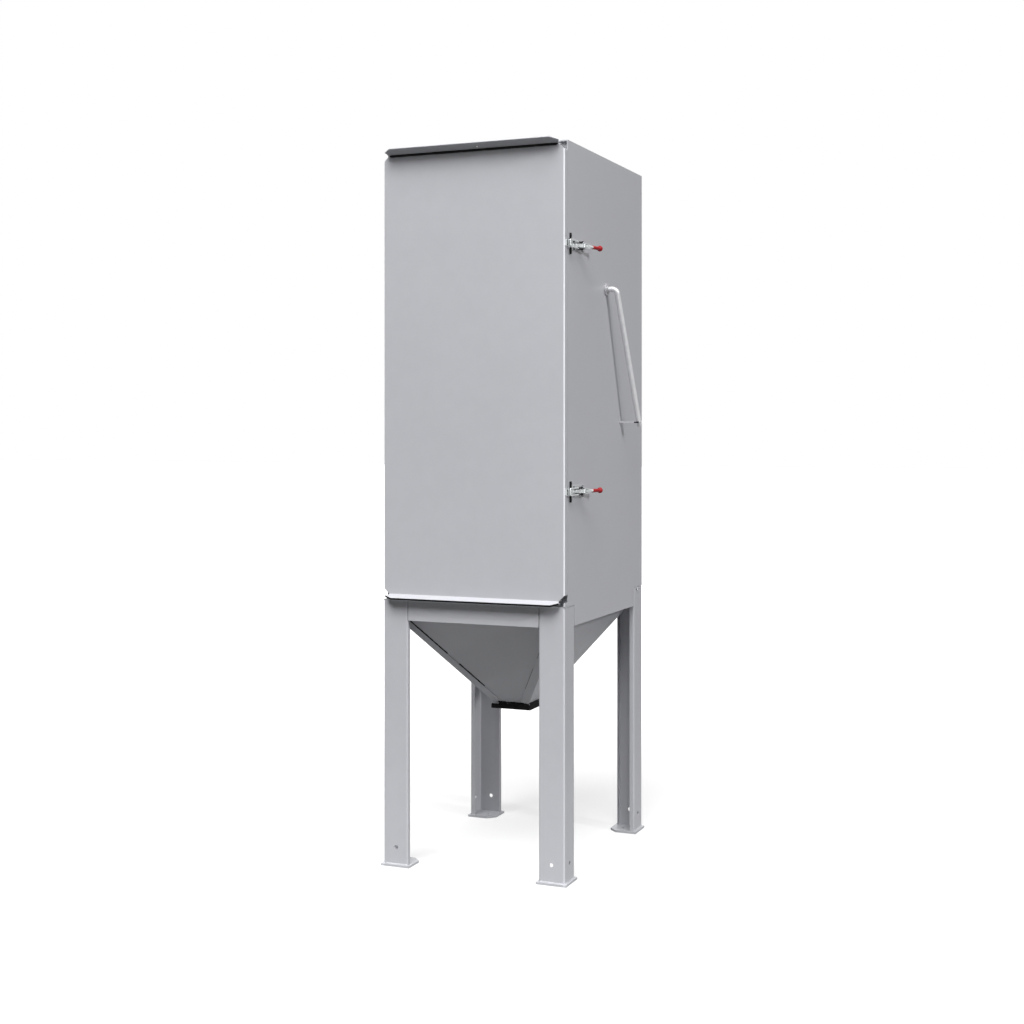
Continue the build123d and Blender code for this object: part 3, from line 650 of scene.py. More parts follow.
@dataclass(frozen=True)
class ZincFinish:
    """Zinc coated sheet with its spangle."""

    colour: tuple[float, float, float] = (0.60, 0.62, 0.64)
    spangle: float = 85.0

    def material(self) -> bpy.types.Material:
        """The sheet's material."""
        tree = Tree("zinc_spangle")
        values = {"Vector": tree.place(), "Scale": self.spangle}
        cells = tree.node("ShaderNodeTexVoronoi", values=values, out="Color")
        facet = tree.node("ShaderNodeSeparateColor", values={0: cells})
        fine = tree.noise(700.0, 2.0)
        tone = facet * 0.8 + fine * 0.2
        colour = tree.mix(tone, shade(self.colour, 0.82), shade(self.colour, 1.1))
        rough = tone.ramp(0.1, 0.9, 0.34, 0.52)
        return tree.finish({"Base Color": colour, "Roughness": rough, "Metallic": 0.9,
                            "Normal": tree.bump(fine, 0.12, 0.00005)})


@dataclass(frozen=True)
class RubberFinish:
    """Black cellular rubber, matt and finely pitted."""

    colour: tuple[float, float, float] = (0.007, 0.007, 0.0075)

    def material(self) -> bpy.types.Material:
        """The rubber's material."""
        tree = Tree("black_cell_rubber")
        pits = tree.noise(900.0, 3.0, 0.7)
        bloom = tree.noise(40.0, 3.0, 0.6).ramp(0.45, 0.75)
        colour = tree.mix(bloom, shade(self.colour, 1.0), shade(self.colour, 2.2))
        return tree.finish({"Base Color": colour, "Roughness": pits.ramp(0.3, 0.7, 0.68, 0.86),
                            "Normal": tree.bump(pits, 0.5, 0.0003), "Specular IOR Level": 0.2})


@dataclass(frozen=True)
class FeltFinish:
    """Needle felt of the filter bags: short crossed fibres, and dust that greys the lower part."""

    colour: tuple[float, float, float] = (0.72, 0.70, 0.64)
    dust_colour: tuple[float, float, float] = (0.40, 0.37, 0.33)

    def material(self) -> bpy.types.Material:
        """The felt's material."""
        tree = Tree("needle_felt")
        along = tree.noise(260.0, 3.0, 0.6, (1.0, 1.0, 0.22))
        across = tree.noise(300.0, 3.0, 0.6, (0.35, 0.35, 1.0))
        fibre = along * 0.5 + across * 0.5
        stain = tree.noise(6.0, 4.0, 0.6)
        low = (tree.along("Z") + stain * 0.35).ramp(1.15, 1.9, 0.75, 0.12)
        clean = tree.mix(fibre, shade(self.colour, 0.84), shade(self.colour, 1.08))
        colour = tree.mix(low * stain.ramp(0.25, 0.6, 0.55, 1.0), clean, shade(self.dust_colour, 1.0))
        return tree.finish({"Base Color": colour, "Roughness": 0.95, "Sheen Weight": 0.25,
                            "Sheen Roughness": 0.5, "Specular IOR Level": 0.1,
                            "Normal": tree.bump(fibre, 0.7, 0.0006)})


@dataclass(frozen=True)
class SteelFinish:
    """Bare or plated steel with fine working lines, and, where set, painted shade that darkens its crevices.
    """

    name: str
    colour: tuple[float, float, float]
    roughness: float
    lines: tuple[float, float, float] = (1.0, 1.0, 1.0)
    line_scale: float = 500.0
    metallic: float = 1.0
    crevice_shade_reach: float = 0.0

    def material(self) -> bpy.types.Material:
        """The steel's material."""
        tree = Tree(self.name)
        lines = tree.noise(self.line_scale, 3.0, 0.6, self.lines)
        haze = tree.noise(60.0, 3.0, 0.6)
        colour = tree.mix(haze, shade(self.colour, 0.88), shade(self.colour, 1.08))
        # Painted shade: the colour darkens to near black where ambient occlusion finds surfaces close by.
        if self.crevice_shade_reach:
            occlusion_shade = tree.node("ShaderNodeAmbientOcclusion", values={"Distance": self.crevice_shade_reach}, out="AO")
            colour = tree.mix(occlusion_shade.ramp(0.25, 0.74, 1.0, 0.0), colour, shade(self.colour, 0.03))
        rough = (lines * 0.5 + haze * 0.5).ramp(0.3, 0.7, self.roughness * 0.75, self.roughness * 1.3)
        return tree.finish({"Base Color": colour, "Roughness": rough, "Metallic": self.metallic,
                            "Normal": tree.bump(lines, 0.12, 0.00006)})


@dataclass(frozen=True)
class GripFinish:
    """Glossy red dipped plastic."""

    colour: tuple[float, float, float] = (0.33, 0.004, 0.009)

    def material(self) -> bpy.types.Material:
        """The plastic's material."""
        tree = Tree("red_dipped_plastic")
        cloud = tree.noise(160.0, 2.0)
        colour = tree.mix(cloud, shade(self.colour, 0.85), shade(self.colour, 1.1))
        return tree.finish({"Base Color": colour, "Roughness": cloud.ramp(0.3, 0.7, 0.30, 0.42),
                            "Coat Weight": 0.15, "Coat Roughness": 0.12, "Specular IOR Level": 0.3,
                            "Normal": tree.bump(tree.noise(500.0, 1.0), 0.08, 0.0001)})


class Finishes:
    """All finishes, made once."""

    def __init__(self) -> None:
        """Makes the materials."""
        self.paint = PaintFinish().material()
        self.paint_inside = PaintFinish(dust=Dust.FILM).material()
        self.zinc = ZincFinish().material()
        self.rubber = RubberFinish().material()
        self.felt = FeltFinish().material()
        self.bright = SteelFinish("bright_plated_steel", (0.80, 0.82, 0.84), 0.2).material()
        # The clamp, turned and lever steels carry painted shade in their crevices.
        self.clamp = SteelFinish("plated_clamp_steel", (0.80, 0.83, 0.84), 0.20, metallic=0.4,
                                 crevice_shade_reach=0.014).material()
        self.dark = SteelFinish("blackened_steel", (0.035, 0.035, 0.04), 0.42, metallic=0.7).material()
        self.turned = SteelFinish("dull_zinc_plate", (0.62, 0.62, 0.64), 0.42, metallic=0.4,
                                  crevice_shade_reach=0.016).material()
        self.lever = SteelFinish("drawn_zinc_plate", (0.80, 0.80, 0.82), 0.36, metallic=0.3,
                                 crevice_shade_reach=0.016).material()
        self.red = GripFinish().material()


def cover(node: str, material: bpy.types.Material) -> None:
    """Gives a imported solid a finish.

    Args:
        node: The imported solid's name.
        material: The finish.
    """
    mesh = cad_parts[node].data
    mesh.materials.clear()
    mesh.materials.append(material)


# Stage


@dataclass
class Studio:
    """The pale stage, the soft lamps and the camera at the photograph's place."""

    camera_place: tuple[float, float, float] = (2.25, -5.4182, 1.582)
    camera_turn: float = 22.798
    camera_lens: float = 54.0
    camera_shift: float = -0.0788
    sensor_width: float = 36.0
    sight: float = 200.0
    floor_reach: float = 60.0
    mirrored_way: tuple[float, float, float] = (0.75, 0.40, 0.55)
    floor_mirrored: float = 0.18

    def build(self) -> None:
        """Builds the stage, lamps, world and camera."""
        bpy.context.scene.view_settings.view_transform = "Standard"
        self._floor()
        self._world()
        self._lamp("upper_right", (2.5, -1.8, 4.5), (0.35, -0.2, 2.2), (4.0, 4.0), 34.0)
        self._lamp("upper_front", (0.3, -3.5, 5.5), (0.0, -0.43, 2.2), (4.0, 2.0), 60.0)
        self._sun("front", 6.0, 60.0, 40.0, 3.7)
        self._sun("fill", 215.0, 22.0, 70.0, 1.1)
        self._sun("right", 76.0, 26.0, 4.0, 1.05)
        self._lamp("strip", (5.6, -2.6, 2.0), (0.35, -0.43, 2.0), (0.12, 3.6), 38.0)
        self._camera()

    def _camera(self) -> None:
        """Puts the camera where the photograph was taken, level and turned to the left."""
        data = bpy.data.cameras.new("camera")
        data.lens = self.camera_lens
        data.sensor_width = self.sensor_width
        data.shift_y = self.camera_shift
        data.clip_end = self.sight
        camera = link("camera", data)
        camera.location = self.camera_place
        camera.rotation_euler = (math.radians(90.0), 0.0, math.radians(self.camera_turn))
        bpy.context.scene.camera = camera

    def _lamp(self, name: str, place: Sequence[float], target: Sequence[float],
              size: tuple[float, float], power: float) -> None:
        """Adds a soft rectangular lamp.

        Args:
            name: Its name.
            place: Where it hangs.
            target: The point that it faces.
            size: Its width and height.
            power: Its power in watts.
        """
        data = bpy.data.lights.new(name, "AREA")
        data.shape = "RECTANGLE"
        data.size, data.size_y = size
        data.energy = power
        lamp = link(name, data)
        lamp.location = place
        lamp.visible_camera = False
        way = np.array(target, float) - np.array(place, float)
        pitch = math.atan2(math.hypot(way[0], way[1]), -way[2])
        lamp.rotation_euler = (pitch, 0.0, math.atan2(-way[0], way[1]))

    def _sun(self, name: str, azimuth: float, elevation: float, spread: float, power: float) -> None:
        """Adds a far, wide lamp whose light falls the same at every height.

        Args:
            name: Its name.
            azimuth: How far to the right of the object's front it stands, in degrees.
            elevation: Its height above the level, in degrees.
            spread: The angle over which its light comes, in degrees.
            power: Its strength in watts a square metre.
        """
        data = bpy.data.lights.new(name, "SUN")
        data.energy = power
        data.angle = math.radians(spread)
        lamp = link(name, data)
        lamp.rotation_euler = (math.radians(90.0 - elevation), 0.0, math.radians(azimuth))

    def _world(self) -> None:
        """White where it is seen, and elsewhere a soft light; mirrored, it is bright above and to the right.

        For mirrored rays the brightness grows with the ray's share along one slanting direction, which
        leaves the side in front of the door dark, as in a room with its lamps to the right.
        """
        world = bpy.data.worlds.new("studio")
        bpy.context.scene.world = world
        world.use_nodes = True
        tree = Tree.over(world.node_tree)
        way = tree.node("ShaderNodeTexCoord", out="Generated")
        share = tree.node("ShaderNodeVectorMath", {"operation": "DOT_PRODUCT"},
                          {0: way, 1: tuple(unit(self.mirrored_way))}, out="Value")
        mirrored = share.ramp(-0.35, 0.65, 0.04, 0.36) + share.ramp(0.80, 1.0, 0.0, 0.5)
        seen = (tree.node("ShaderNodeLightPath", out="Is Camera Ray")
                + tree.node("ShaderNodeLightPath", out="Is Glossy Ray") * mirrored)
        white = tree.node("ShaderNodeBackground", values={"Color": (1.0, 1.0, 1.0, 1.0), "Strength": 1.0})
        soft = tree.node("ShaderNodeBackground", values={"Color": (0.97, 0.985, 1.0, 1.0), "Strength": 0.03})
        mixed = tree.node("ShaderNodeMixShader", values={0: seen, 1: soft, 2: white})
        tree.node("ShaderNodeOutputWorld", values={"Surface": mixed})

    def _floor(self) -> None:
        """A wide pale floor that is white where it is seen and keeps the soft shadow."""
        far = self.floor_reach
        mesh = bpy.data.meshes.new("floor")
        mesh.from_pydata([(-far, -far, 0), (far, -far, 0), (far, far, 0), (-far, far, 0)],
                         [], [(0, 1, 2, 3)])
        floor = link("floor", mesh)
        tree = Tree("pale_floor")
        seen = (tree.node("ShaderNodeLightPath", out="Is Camera Ray")
                + tree.node("ShaderNodeLightPath", out="Is Glossy Ray") * self.floor_mirrored)
        lit = tree.node("ShaderNodeBsdfDiffuse", values={"Color": (0.34, 0.34, 0.34, 1.0)})
        reach = tree.node("ShaderNodeVectorMath", {"operation": "LENGTH"}, {0: tree.place()}, out="Value")
        grey = tree.mix(reach.ramp(1.0, 3.5), (0.68, 0.68, 0.68, 1.0), (1.0, 1.0, 1.0, 1.0))
        glow = tree.node("ShaderNodeEmission", values={"Color": grey})
        pale = tree.node("ShaderNodeAddShader", values={0: lit, 1: glow})
        bounce = tree.mix(reach.ramp(0.8, 2.6), (0.30, 0.30, 0.30, 1.0), (0.07, 0.07, 0.07, 1.0))
        dim = tree.node("ShaderNodeBsdfDiffuse", values={"Color": bounce})
        surface = tree.node("ShaderNodeMixShader", values={0: seen, 1: dim, 2: pale})
        tree.node("ShaderNodeOutputMaterial", values={"Surface": surface})
        mesh.materials.append(tree.material)


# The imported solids' finishes


@dataclass
class Sheetwork:
    """The cabinet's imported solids, by the finish that each takes."""

    finishes: Finishes

    def build(self) -> None:
        """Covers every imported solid."""
        finishes = self.finishes
        groups = {
            "paint": ["left_wall", "right_wall", "back_wall", "roof_panel", "front_rail", "door_panel",
                      "leg_front_left", "leg_front_right", "leg_back_left", "leg_back_right", "foot_plates",
                      "hopper_front", "hopper_back", "hopper_left", "hopper_right", "hopper_strips",
                      "outlet_flange", "front_frame"],
            "paint_inside": ["base_ring", "frame_rim", "door_stiffeners"],
            "zinc": ["tube_sheet", "bag_thimbles", "inlet_spigot", "air_outlet", "hanger_angles",
                     "hanger_bars"],
            "rubber": ["door_seal", "outlet_gasket"],
            "felt": ["filter_bags"],
            "clamp": ["clamp_brackets", "door_keepers", "clamp_handle_upper", "clamp_handle_lower",
                      "clamp_hook_upper", "clamp_hook_lower"],
            "dark": ["hinge_lower", "hinge_upper"],
            "lever": ["shaker_lever"],
            "turned": ["shaker_shaft", "lever_peg", "lever_bush", "shaft_bearing"],
            "red": ["clamp_grip_upper", "clamp_grip_lower"],
        }
        for finish, nodes in groups.items():
            for node in nodes:
                cover(node, getattr(finishes, finish))
            LOG.info("%s: %d solids", finish, len(nodes))


# Filter bags


@dataclass
class FilterBags:
    """The hanging felt sleeves: each clamped round its thimble, closed and tied at the top, and slack."""

    finishes: Finishes
    radius: float = 0.0783
    foot_radius: float = 0.0757
    foot: float = 0.979
    shoulder: float = 1.974
    top: float = 2.002
    columns: tuple[float, ...] = (-0.205, 0.0, 0.205)
    rows: tuple[float, ...] = (-0.282, -0.094, 0.094, 0.282)
    around: int = 64
    patterns: int = 4
    moments: int = 24
    fold_seed: int = 300
    turn_seed: int = 40
    slack: float = 0.02
    limit: float = 0.009
    felt: float = 0.0016
    side_rings: int = 72
    crown_rings: int = 22
    fold_depth: float = 0.0032
    sag: float = 0.0022
    neck: float = 0.006
    hems: float = 0.07
    band_level: float = 1.006
    band_height: float = 0.014
    band_sheet: float = 0.0009
    tie_radius: float = 0.0075
    strap: float = 0.0017
    tie_lifts: tuple[float, ...] = (0.0, 0.0035, 0.007)

    def build(self) -> None:
        """Builds every bag, its band and its tie."""
        bands, ties = Shell(), Shell()
        places = [(x, y) for y in self.rows for x in self.columns]
        skins = [self._sagged(number) for number in range(self.patterns)]
        for number, place in enumerate(places):
            self._bag(number, place, skins[number % self.patterns])
            self._band(bands, place)
            self._tie(ties, place)
        bands.piece("bag_bands", self.finishes.bright, Slot.BRIGHT, Body.CABINET)
        ties.piece("bag_ties", self.finishes.zinc, Slot.ZINC, Body.CABINET)

    def _skin(self, number: int) -> Array:
        """A bag's skin about its own centre line.

        Going up, the radius is the thimble's below the band, then swells to the sleeve's, sags inward by
        shallow soft folds that fade at both ends, and draws in to the tie. Each fold is a sum of a few
        waves round the bag, whose phases drift with height.

        Args:
            number: The pattern's number, which seeds its folds.

        Returns:
            The skin's points, as rows from the mouth to the tie.
        """
        chance = np.random.default_rng(self.fold_seed + number)
        low = np.linspace(self.foot, self.shoulder, self.side_rings)
        turn = np.linspace(0.0, 2.0 * math.pi, self.around, endpoint=False)
        rise = ((low - self.foot) / (self.shoulder - self.foot))[:, None]
        folds = np.zeros((low.size, self.around))
        for waves in (2, 3, 5, 7):
            phase, drift = chance.uniform(0.0, 2.0 * math.pi), chance.uniform(-3.0, 3.0)
            folds += np.cos(waves * turn + phase + drift * rise) / waves
        slack = np.sin(math.pi * np.clip(rise * 1.02, 0.0, 1.0)) ** 0.7
        swell = self.foot_radius + (self.radius - self.foot_radius) * np.clip(rise * 14.0 - 0.6, 0.0, 1.0)
        pinch = 0.0012 * np.exp(-((low[:, None] - self.band_level) / 0.006) ** 2)
        radius = swell - pinch + slack * (self.fold_depth * folds - self.sag)
        sides = np.stack([radius * np.cos(turn), radius * np.sin(turn),
                          np.broadcast_to(low[:, None], radius.shape)], axis=-1)
        share = np.linspace(0.0, 1.0, self.crown_rings)[1:, None]
        gather = 1.0 + 0.10 * np.sin(math.pi * share) * np.cos(14.0 * turn + chance.uniform(0.0, 6.0))
        wide = self.radius - self.sag - self.neck
        tops = (self.neck + wide * np.cos(share * math.pi / 2.0) ** 0.8) * gather
        lift = self.shoulder + (self.top - self.shoulder) * np.sin(share * math.pi / 2.0)
        crown = np.stack([tops * np.cos(turn), tops * np.sin(turn),
                          np.broadcast_to(lift, tops.shape)], axis=-1)
        return np.concatenate([sides, crown])

    def _sagged(self, number: int) -> Array:
        """A bag's skin after its cloth has sagged between the band and the tie.

        The cloth is a little longer than the way between its two held ends, so it creases as it settles.
        No point travels further than the limit.

        Args:
            number: The pattern's number.

        Returns:
            The skin's points, as rows from the mouth to the tie.
        """
        rows = self._skin(number)
        mesh = bpy.data.meshes.new("slack_felt")
        shell = Shell().skin(rows)
        mesh.from_pydata(rows.reshape(-1, 3).tolist(), [], shell.quads[0].tolist())
        cloth = link("slack_felt", mesh)
        level = rows[:, :, 2].ravel()
        held = cloth.vertex_groups.new(name="held")
        ends = (level < self.band_level + 0.008) | (level > self.shoulder)
        held.add(np.flatnonzero(ends).tolist(), 1.0, "ADD")
        cloth.modifiers.new("cloth", "CLOTH")
        settings = cloth.modifiers["cloth"].settings
        settings.vertex_group_mass = "held"
        settings.quality = 6
        settings.mass = 0.25
        settings.tension_stiffness = settings.compression_stiffness = 25.0
        settings.shear_stiffness = 12.0
        settings.bending_stiffness = 1.2
        settings.shrink_min = -self.slack
        settings.use_pressure = True
        settings.uniform_pressure_force = 0.5
        for moment in range(1, self.moments + 1):
            bpy.context.scene.frame_set(moment)
        graph = bpy.context.evaluated_depsgraph_get()
        settled = np.empty(rows.size)
        cloth.evaluated_get(graph).data.vertices.foreach_get("co", settled)
        bpy.context.scene.frame_set(1)
        bpy.data.objects.remove(cloth)
        travel = settled.reshape(rows.shape) - rows
        reach = np.linalg.norm(travel, axis=-1, keepdims=True)
        LOG.info("felt pattern %d: travels up to %.1f mm", number, 1000.0 * reach.max())
        return rows + travel * np.minimum(1.0, self.limit / np.maximum(reach, 1e-9))

    def _bag(self, number: int, place: tuple[float, float], skin: Array) -> None:
        """Builds one bag from a pattern, turned by a chance angle.

        Args:
            number: The bag's number.
            place: Its centre line's X and Y.
            skin: The pattern's points.
        """
        turn = np.random.default_rng(self.turn_seed + number).uniform(0.0, 2.0 * math.pi)
        spin = np.array([[math.cos(turn), math.sin(turn), 0.0], [-math.sin(turn), math.cos(turn), 0.0],
                         [0.0, 0.0, 1.0]])
        rows = skin @ spin + np.array([*place, 0.0])
        nodes = ["filter_bags"] if number == 0 else []
        bag = Shell().skin(rows).piece(f"filter_bag_{number + 1}", self.finishes.felt, Slot.FELT,
                                       Body.CABINET, nodes, crease=80.0)
        cloth = bag.modifiers.new("felt", "SOLIDIFY")
        cloth.thickness = self.felt
        cloth.offset = -1.0

    def _band(self, bands: Shell, place: tuple[float, float]) -> None:
        """Adds a bag's clamping band, with its worm housing.

        Args:
            bands: The shell that it is added to.
            place: The bag's centre line.
        """
        low, high = self.band_level - self.band_height / 2.0, self.band_level + self.band_height / 2.0
        inner = self.foot_radius + 0.0001
        outer = inner + self.band_sheet
        rim = [(low, inner), (low, outer), (high, outer), (high, inner), (low, inner)]
        bands.turn(rim, (*place, 0.0), (0, 0, 1), sides=72)
        start = np.array([place[0] - 0.014, place[1] - inner - 0.005, self.band_level])
        bands.turn([(0, 0), (0, 0.0042), (0.003, 0.005), (0.024, 0.005), (0.028, 0.0035), (0.028, 0)],
                   start, (1, 0, 0), sides=16)

    def _tie(self, ties: Shell, place: tuple[float, float]) -> None:
        """Adds a bag's tie: three turns of strap round its gathered top.

        Args:
            ties: The shell that it is added to.
            place: The bag's centre line.
        """
        level, around = self.top - 0.001, 24
        ring = np.linspace(0.0, 2.0 * math.pi, 8, endpoint=False)[:, None]
        for lift in self.tie_lifts:
            turn = circle(self.tie_radius, around)
            path = np.column_stack([turn, np.full(around, level + lift)]) + [*place, 0.0]
            out = path - [*place, level + lift]
            rows = path[:, None] + self.strap * (np.cos(ring) * out[:, None] / self.tie_radius
                                                 + np.sin(ring) * np.array([0.0, 0.0, 1.0]))
            ties.skin(np.concatenate([rows, rows[:1]]))


# Clamps and their keepers


@dataclass
class ClampDetails:
    """The small parts of one toggle clamp: screws, pins, nuts and threads, a web, edge caps and a grip."""

    finishes: Finishes
    level: float
    label: str
    sheet: float = 0.0025
    base_screws: tuple[tuple[float, float], ...] = ((0.054, 0.029), (0.054, -0.029), (0.084, 0.0135),
                                                    (0.084, -0.0135))
    keeper_screws: tuple[tuple[float, float], ...] = ((0.0172, -0.0068), (0.0172, 0.0068))
    nut_starts: tuple[float, float] = (0.1290, 0.1342)
    nut_length: float = 0.0042
    thread_run: tuple[float, float] = (0.100, 0.129)
    thread_pitch: float = 0.0008
    pivot_out: float = 0.022
    pivot_back: float = 0.132
    hook_out: float = 0.014
    hook_back: float = 0.145
    hook_half: float = 0.012
    lean: float = 15.0
    web: tuple[float, float] = (0.0098, 0.0240)
    web_halves: tuple[float, float] = (0.0046, 0.0062)
    grip_start: float = 0.054
    grip_waist: float = 0.0062
    neck_radius: float = 0.0068
    ball_at: float = 0.101
    ball_radius: float = 0.0105
    edge_back: float = 0.0432
    edge_out: float = 0.0064
    cap_length: float = 0.0226
    ease: float = 0.0008

    def build(self) -> None:
        """Builds the clamp's small parts."""
        self._fixings()
        self._edge_caps()
        self._hook_nuts()
        self._pins()
        self._web()
        self._grip()

    def _body(self, part: str) -> Body:
        """The body of one of the clamp's moving parts.

        Args:
            part: HANDLE or HOOK.

        Returns:
            The body.
        """
        return Body[f"{part}_{self.label.upper()}"]

    def _point(self, out: float, back: float, up: float) -> Array:
        """A point given from the clamp's own corner.

        Args:
            out: The distance out from the wall.
            back: The distance back from the door's face.
            up: The height above the clamp's level.

        Returns:
            The point.
        """
        return np.array([SIDE + out, FRONT + back, self.level + up])

    def _along(self, distance: float) -> Array:
        """A point on the handle's centre line.

        Args:
            distance: The distance from its pivot.

        Returns:
            The point.
        """
        lean = math.radians(self.lean)
        return self._point(self.pivot_out + distance * math.sin(lean),
                           self.pivot_back + distance * math.cos(lean), 0.0)

    def _fixings(self) -> None:
        """The screws of the base and of the keeper."""
        screws = Shell()
        for back, up in self.base_screws:
            screws.screw(self._point(self.sheet, back, up), (1, 0, 0), 0.0080, 0.0034)
        screws.piece(f"clamp_screws_{self.label}", self.finishes.dark, Slot.DARK, Body.CABINET)
        keeper = Shell()
        for back, up in self.keeper_screws:
            keeper.screw(self._point(self.sheet, back, up), (1, 0, 0), 0.0046, 0.0020)
        keeper.piece(f"keeper_screws_{self.label}", self.finishes.dark, Slot.DARK, Body.DOOR)

    def _hook_nuts(self) -> None:
        """The hook's arms: a rolled thread and two lock nuts on each, before the eyes."""
        nuts = Shell()
        for half in (-self.hook_half, self.hook_half):
            origin = self._point(self.hook_out, 0.0, half)
            for start in self.nut_starts:
                end = start + self.nut_length
                nuts.turn([(start, 0.0024), (start, 0.0042), (start + 0.0003, 0.0046), (end - 0.0003, 0.0046),
                           (end, 0.0042), (end, 0.0024)], origin, (0, 1, 0), sides=6)
            turns = np.arange(*self.thread_run, self.thread_pitch)
            thread = np.column_stack([np.repeat(turns, 2) + np.tile([0.0, 0.0004], turns.size),
                                      np.tile([0.00255, 0.0028], turns.size)])
            nuts.turn(thread, origin, (0, 1, 0), sides=20)
        nuts.piece(f"clamp_hook_nuts_{self.label}", self.finishes.dark, Slot.DARK, self._body("HOOK"))

    def _pins(self) -> None:
        """The domed ends of the handle's two pins."""
        pins = Shell()
        for place, half, radius in (((self.pivot_out, self.pivot_back), 0.009, 0.0046),
                                    ((self.hook_out, self.hook_back), 0.0175, 0.0038)):
            dome = [(0.0, 0.0), (0.0, radius), (0.0007, radius), (0.0014, radius * 0.8),
                    (0.0018, radius * 0.45), (0.0019, 0.0)]
            for side in (-1.0, 1.0):
                pins.turn(dome, self._point(*place, side * half), (0, 0, side), sides=24)
        pins.piece(f"clamp_pins_{self.label}", self.finishes.dark, Slot.DARK, self._body("HANDLE"))

    def _web(self) -> None:
        """The web between the handle's two cheeks, behind the lug's nose."""
        way = self._along(self.web[1]) - self._along(self.web[0])
        thick, high = self.web_halves
        across = np.cross(unit(way), (0.0, 0.0, 1.0)) * thick
        outline = rounded_rectangle(self._along(self.web[0]), across, (0, 0, high), 0.0016)
        web = Shell().bar(outline, way, self.ease)
        web.piece(f"clamp_web_{self.label}", self.finishes.clamp, Slot.BRIGHT, self._body("HANDLE"))

    def _grip(self) -> None:
        """The dipped grip: a rolled lip, a slim sleeve that swells a little, and a round ball end."""
        axis = self._along(1.0) - self._along(0.0)
        start, waist = self.grip_start, self.grip_waist
        lip = [(0.0, 0.0), (0.0, 0.0056), (0.0005, 0.0064), (0.0020, 0.0068), (0.0036, 0.0064),
               (0.0050, waist)]
        meet = math.acos(self.neck_radius / self.ball_radius)
        neck = self.ball_at - self.ball_radius * math.sin(meet) - 0.0012
        share = np.linspace(0.06, 1.0, 26)
        sleeve = [(start + 0.005 + (neck - start - 0.005) * part, waist + 0.0004 * part ** 3)
                  for part in share]
        angles = np.linspace(-meet, math.pi / 2.0, 24)
        ball = [(self.ball_at + self.ball_radius * math.sin(angle), self.ball_radius * math.cos(angle))
                for angle in angles[:-1]]
        profile = [(start + far, radius) for far, radius in lip] + sleeve + ball
        profile.append((self.ball_at + self.ball_radius, 0.0))
        Shell().turn(profile, self._along(0.0), axis, sides=48).piece(
            f"clamp_grip_dipped_{self.label}", self.finishes.red, Slot.RED, self._body("HANDLE"),
            [f"clamp_grip_{self.label}"], crease=50.0)

    def _edge_caps(self) -> None:
        """The two black rubber caps on the base's standing edge, above and below the hook."""
        caps = Shell()
        for side in (-1.0, 1.0):
            outline = rounded_rectangle(self._point(self.edge_out, self.edge_back, side * 0.0145),
                                        (0.0036, 0, 0), (0, 0.0024, 0), 0.0012)
            caps.bar(outline, (0, 0, side * self.cap_length), self.ease)
        caps.piece(f"clamp_edge_caps_{self.label}", self.finishes.rubber, Slot.RUBBER, Body.CABINET)


# Gasket, beads and fixings


@dataclass
class OutletGasket:
    """The cut rubber frame under the outlet's flange, with its ragged edge."""

    finishes: Finishes
    half: float = 0.080
    bore: float = 0.058
    low: float = 0.534
    high: float = 0.551
    around: int = 240
    seed: int = 7

    def build(self) -> None:
        """Builds the gasket.

        Its outside is a square whose points are pushed in and out by a few waves, which grow toward the
        squeezed upper edge; the hole is a plain square.
        """
        turn = np.linspace(0.0, 2.0 * math.pi, self.around, endpoint=False)
        square = self.half / np.maximum(np.abs(np.cos(turn)), np.abs(np.sin(turn)))
        chance = np.random.default_rng(self.seed)
        rows = []
        for level, rough, inset in ((self.low, 0.0004, 0.0012), (self.low + 0.0012, 0.0005, 0.0002),
                                    (0.5425, 0.0008, 0.0008), (self.high - 0.0015, 0.0012, 0.0012),
                                    (self.high, 0.0014, 0.0020)):
            wave = sum(np.cos(count * turn + chance.uniform(0.0, 6.3)) / 3.0 for count in (11, 29, 53, 87))
            reach = square - inset - rough * (1.0 + wave)
            rows.append(np.column_stack([reach * np.cos(turn), reach * np.sin(turn),
                                         np.full(self.around, level)]))
        for level in (self.high, self.low):
            rows.append(np.column_stack([square * self.bore / self.half * np.cos(turn),
                                         square * self.bore / self.half * np.sin(turn),
                                         np.full(self.around, level)]))
        rows.append(rows[0])
        Shell().skin(np.stack(rows)).piece("outlet_gasket_cut", self.finishes.rubber, Slot.RUBBER,
                                           Body.CABINET, ["outlet_gasket"])


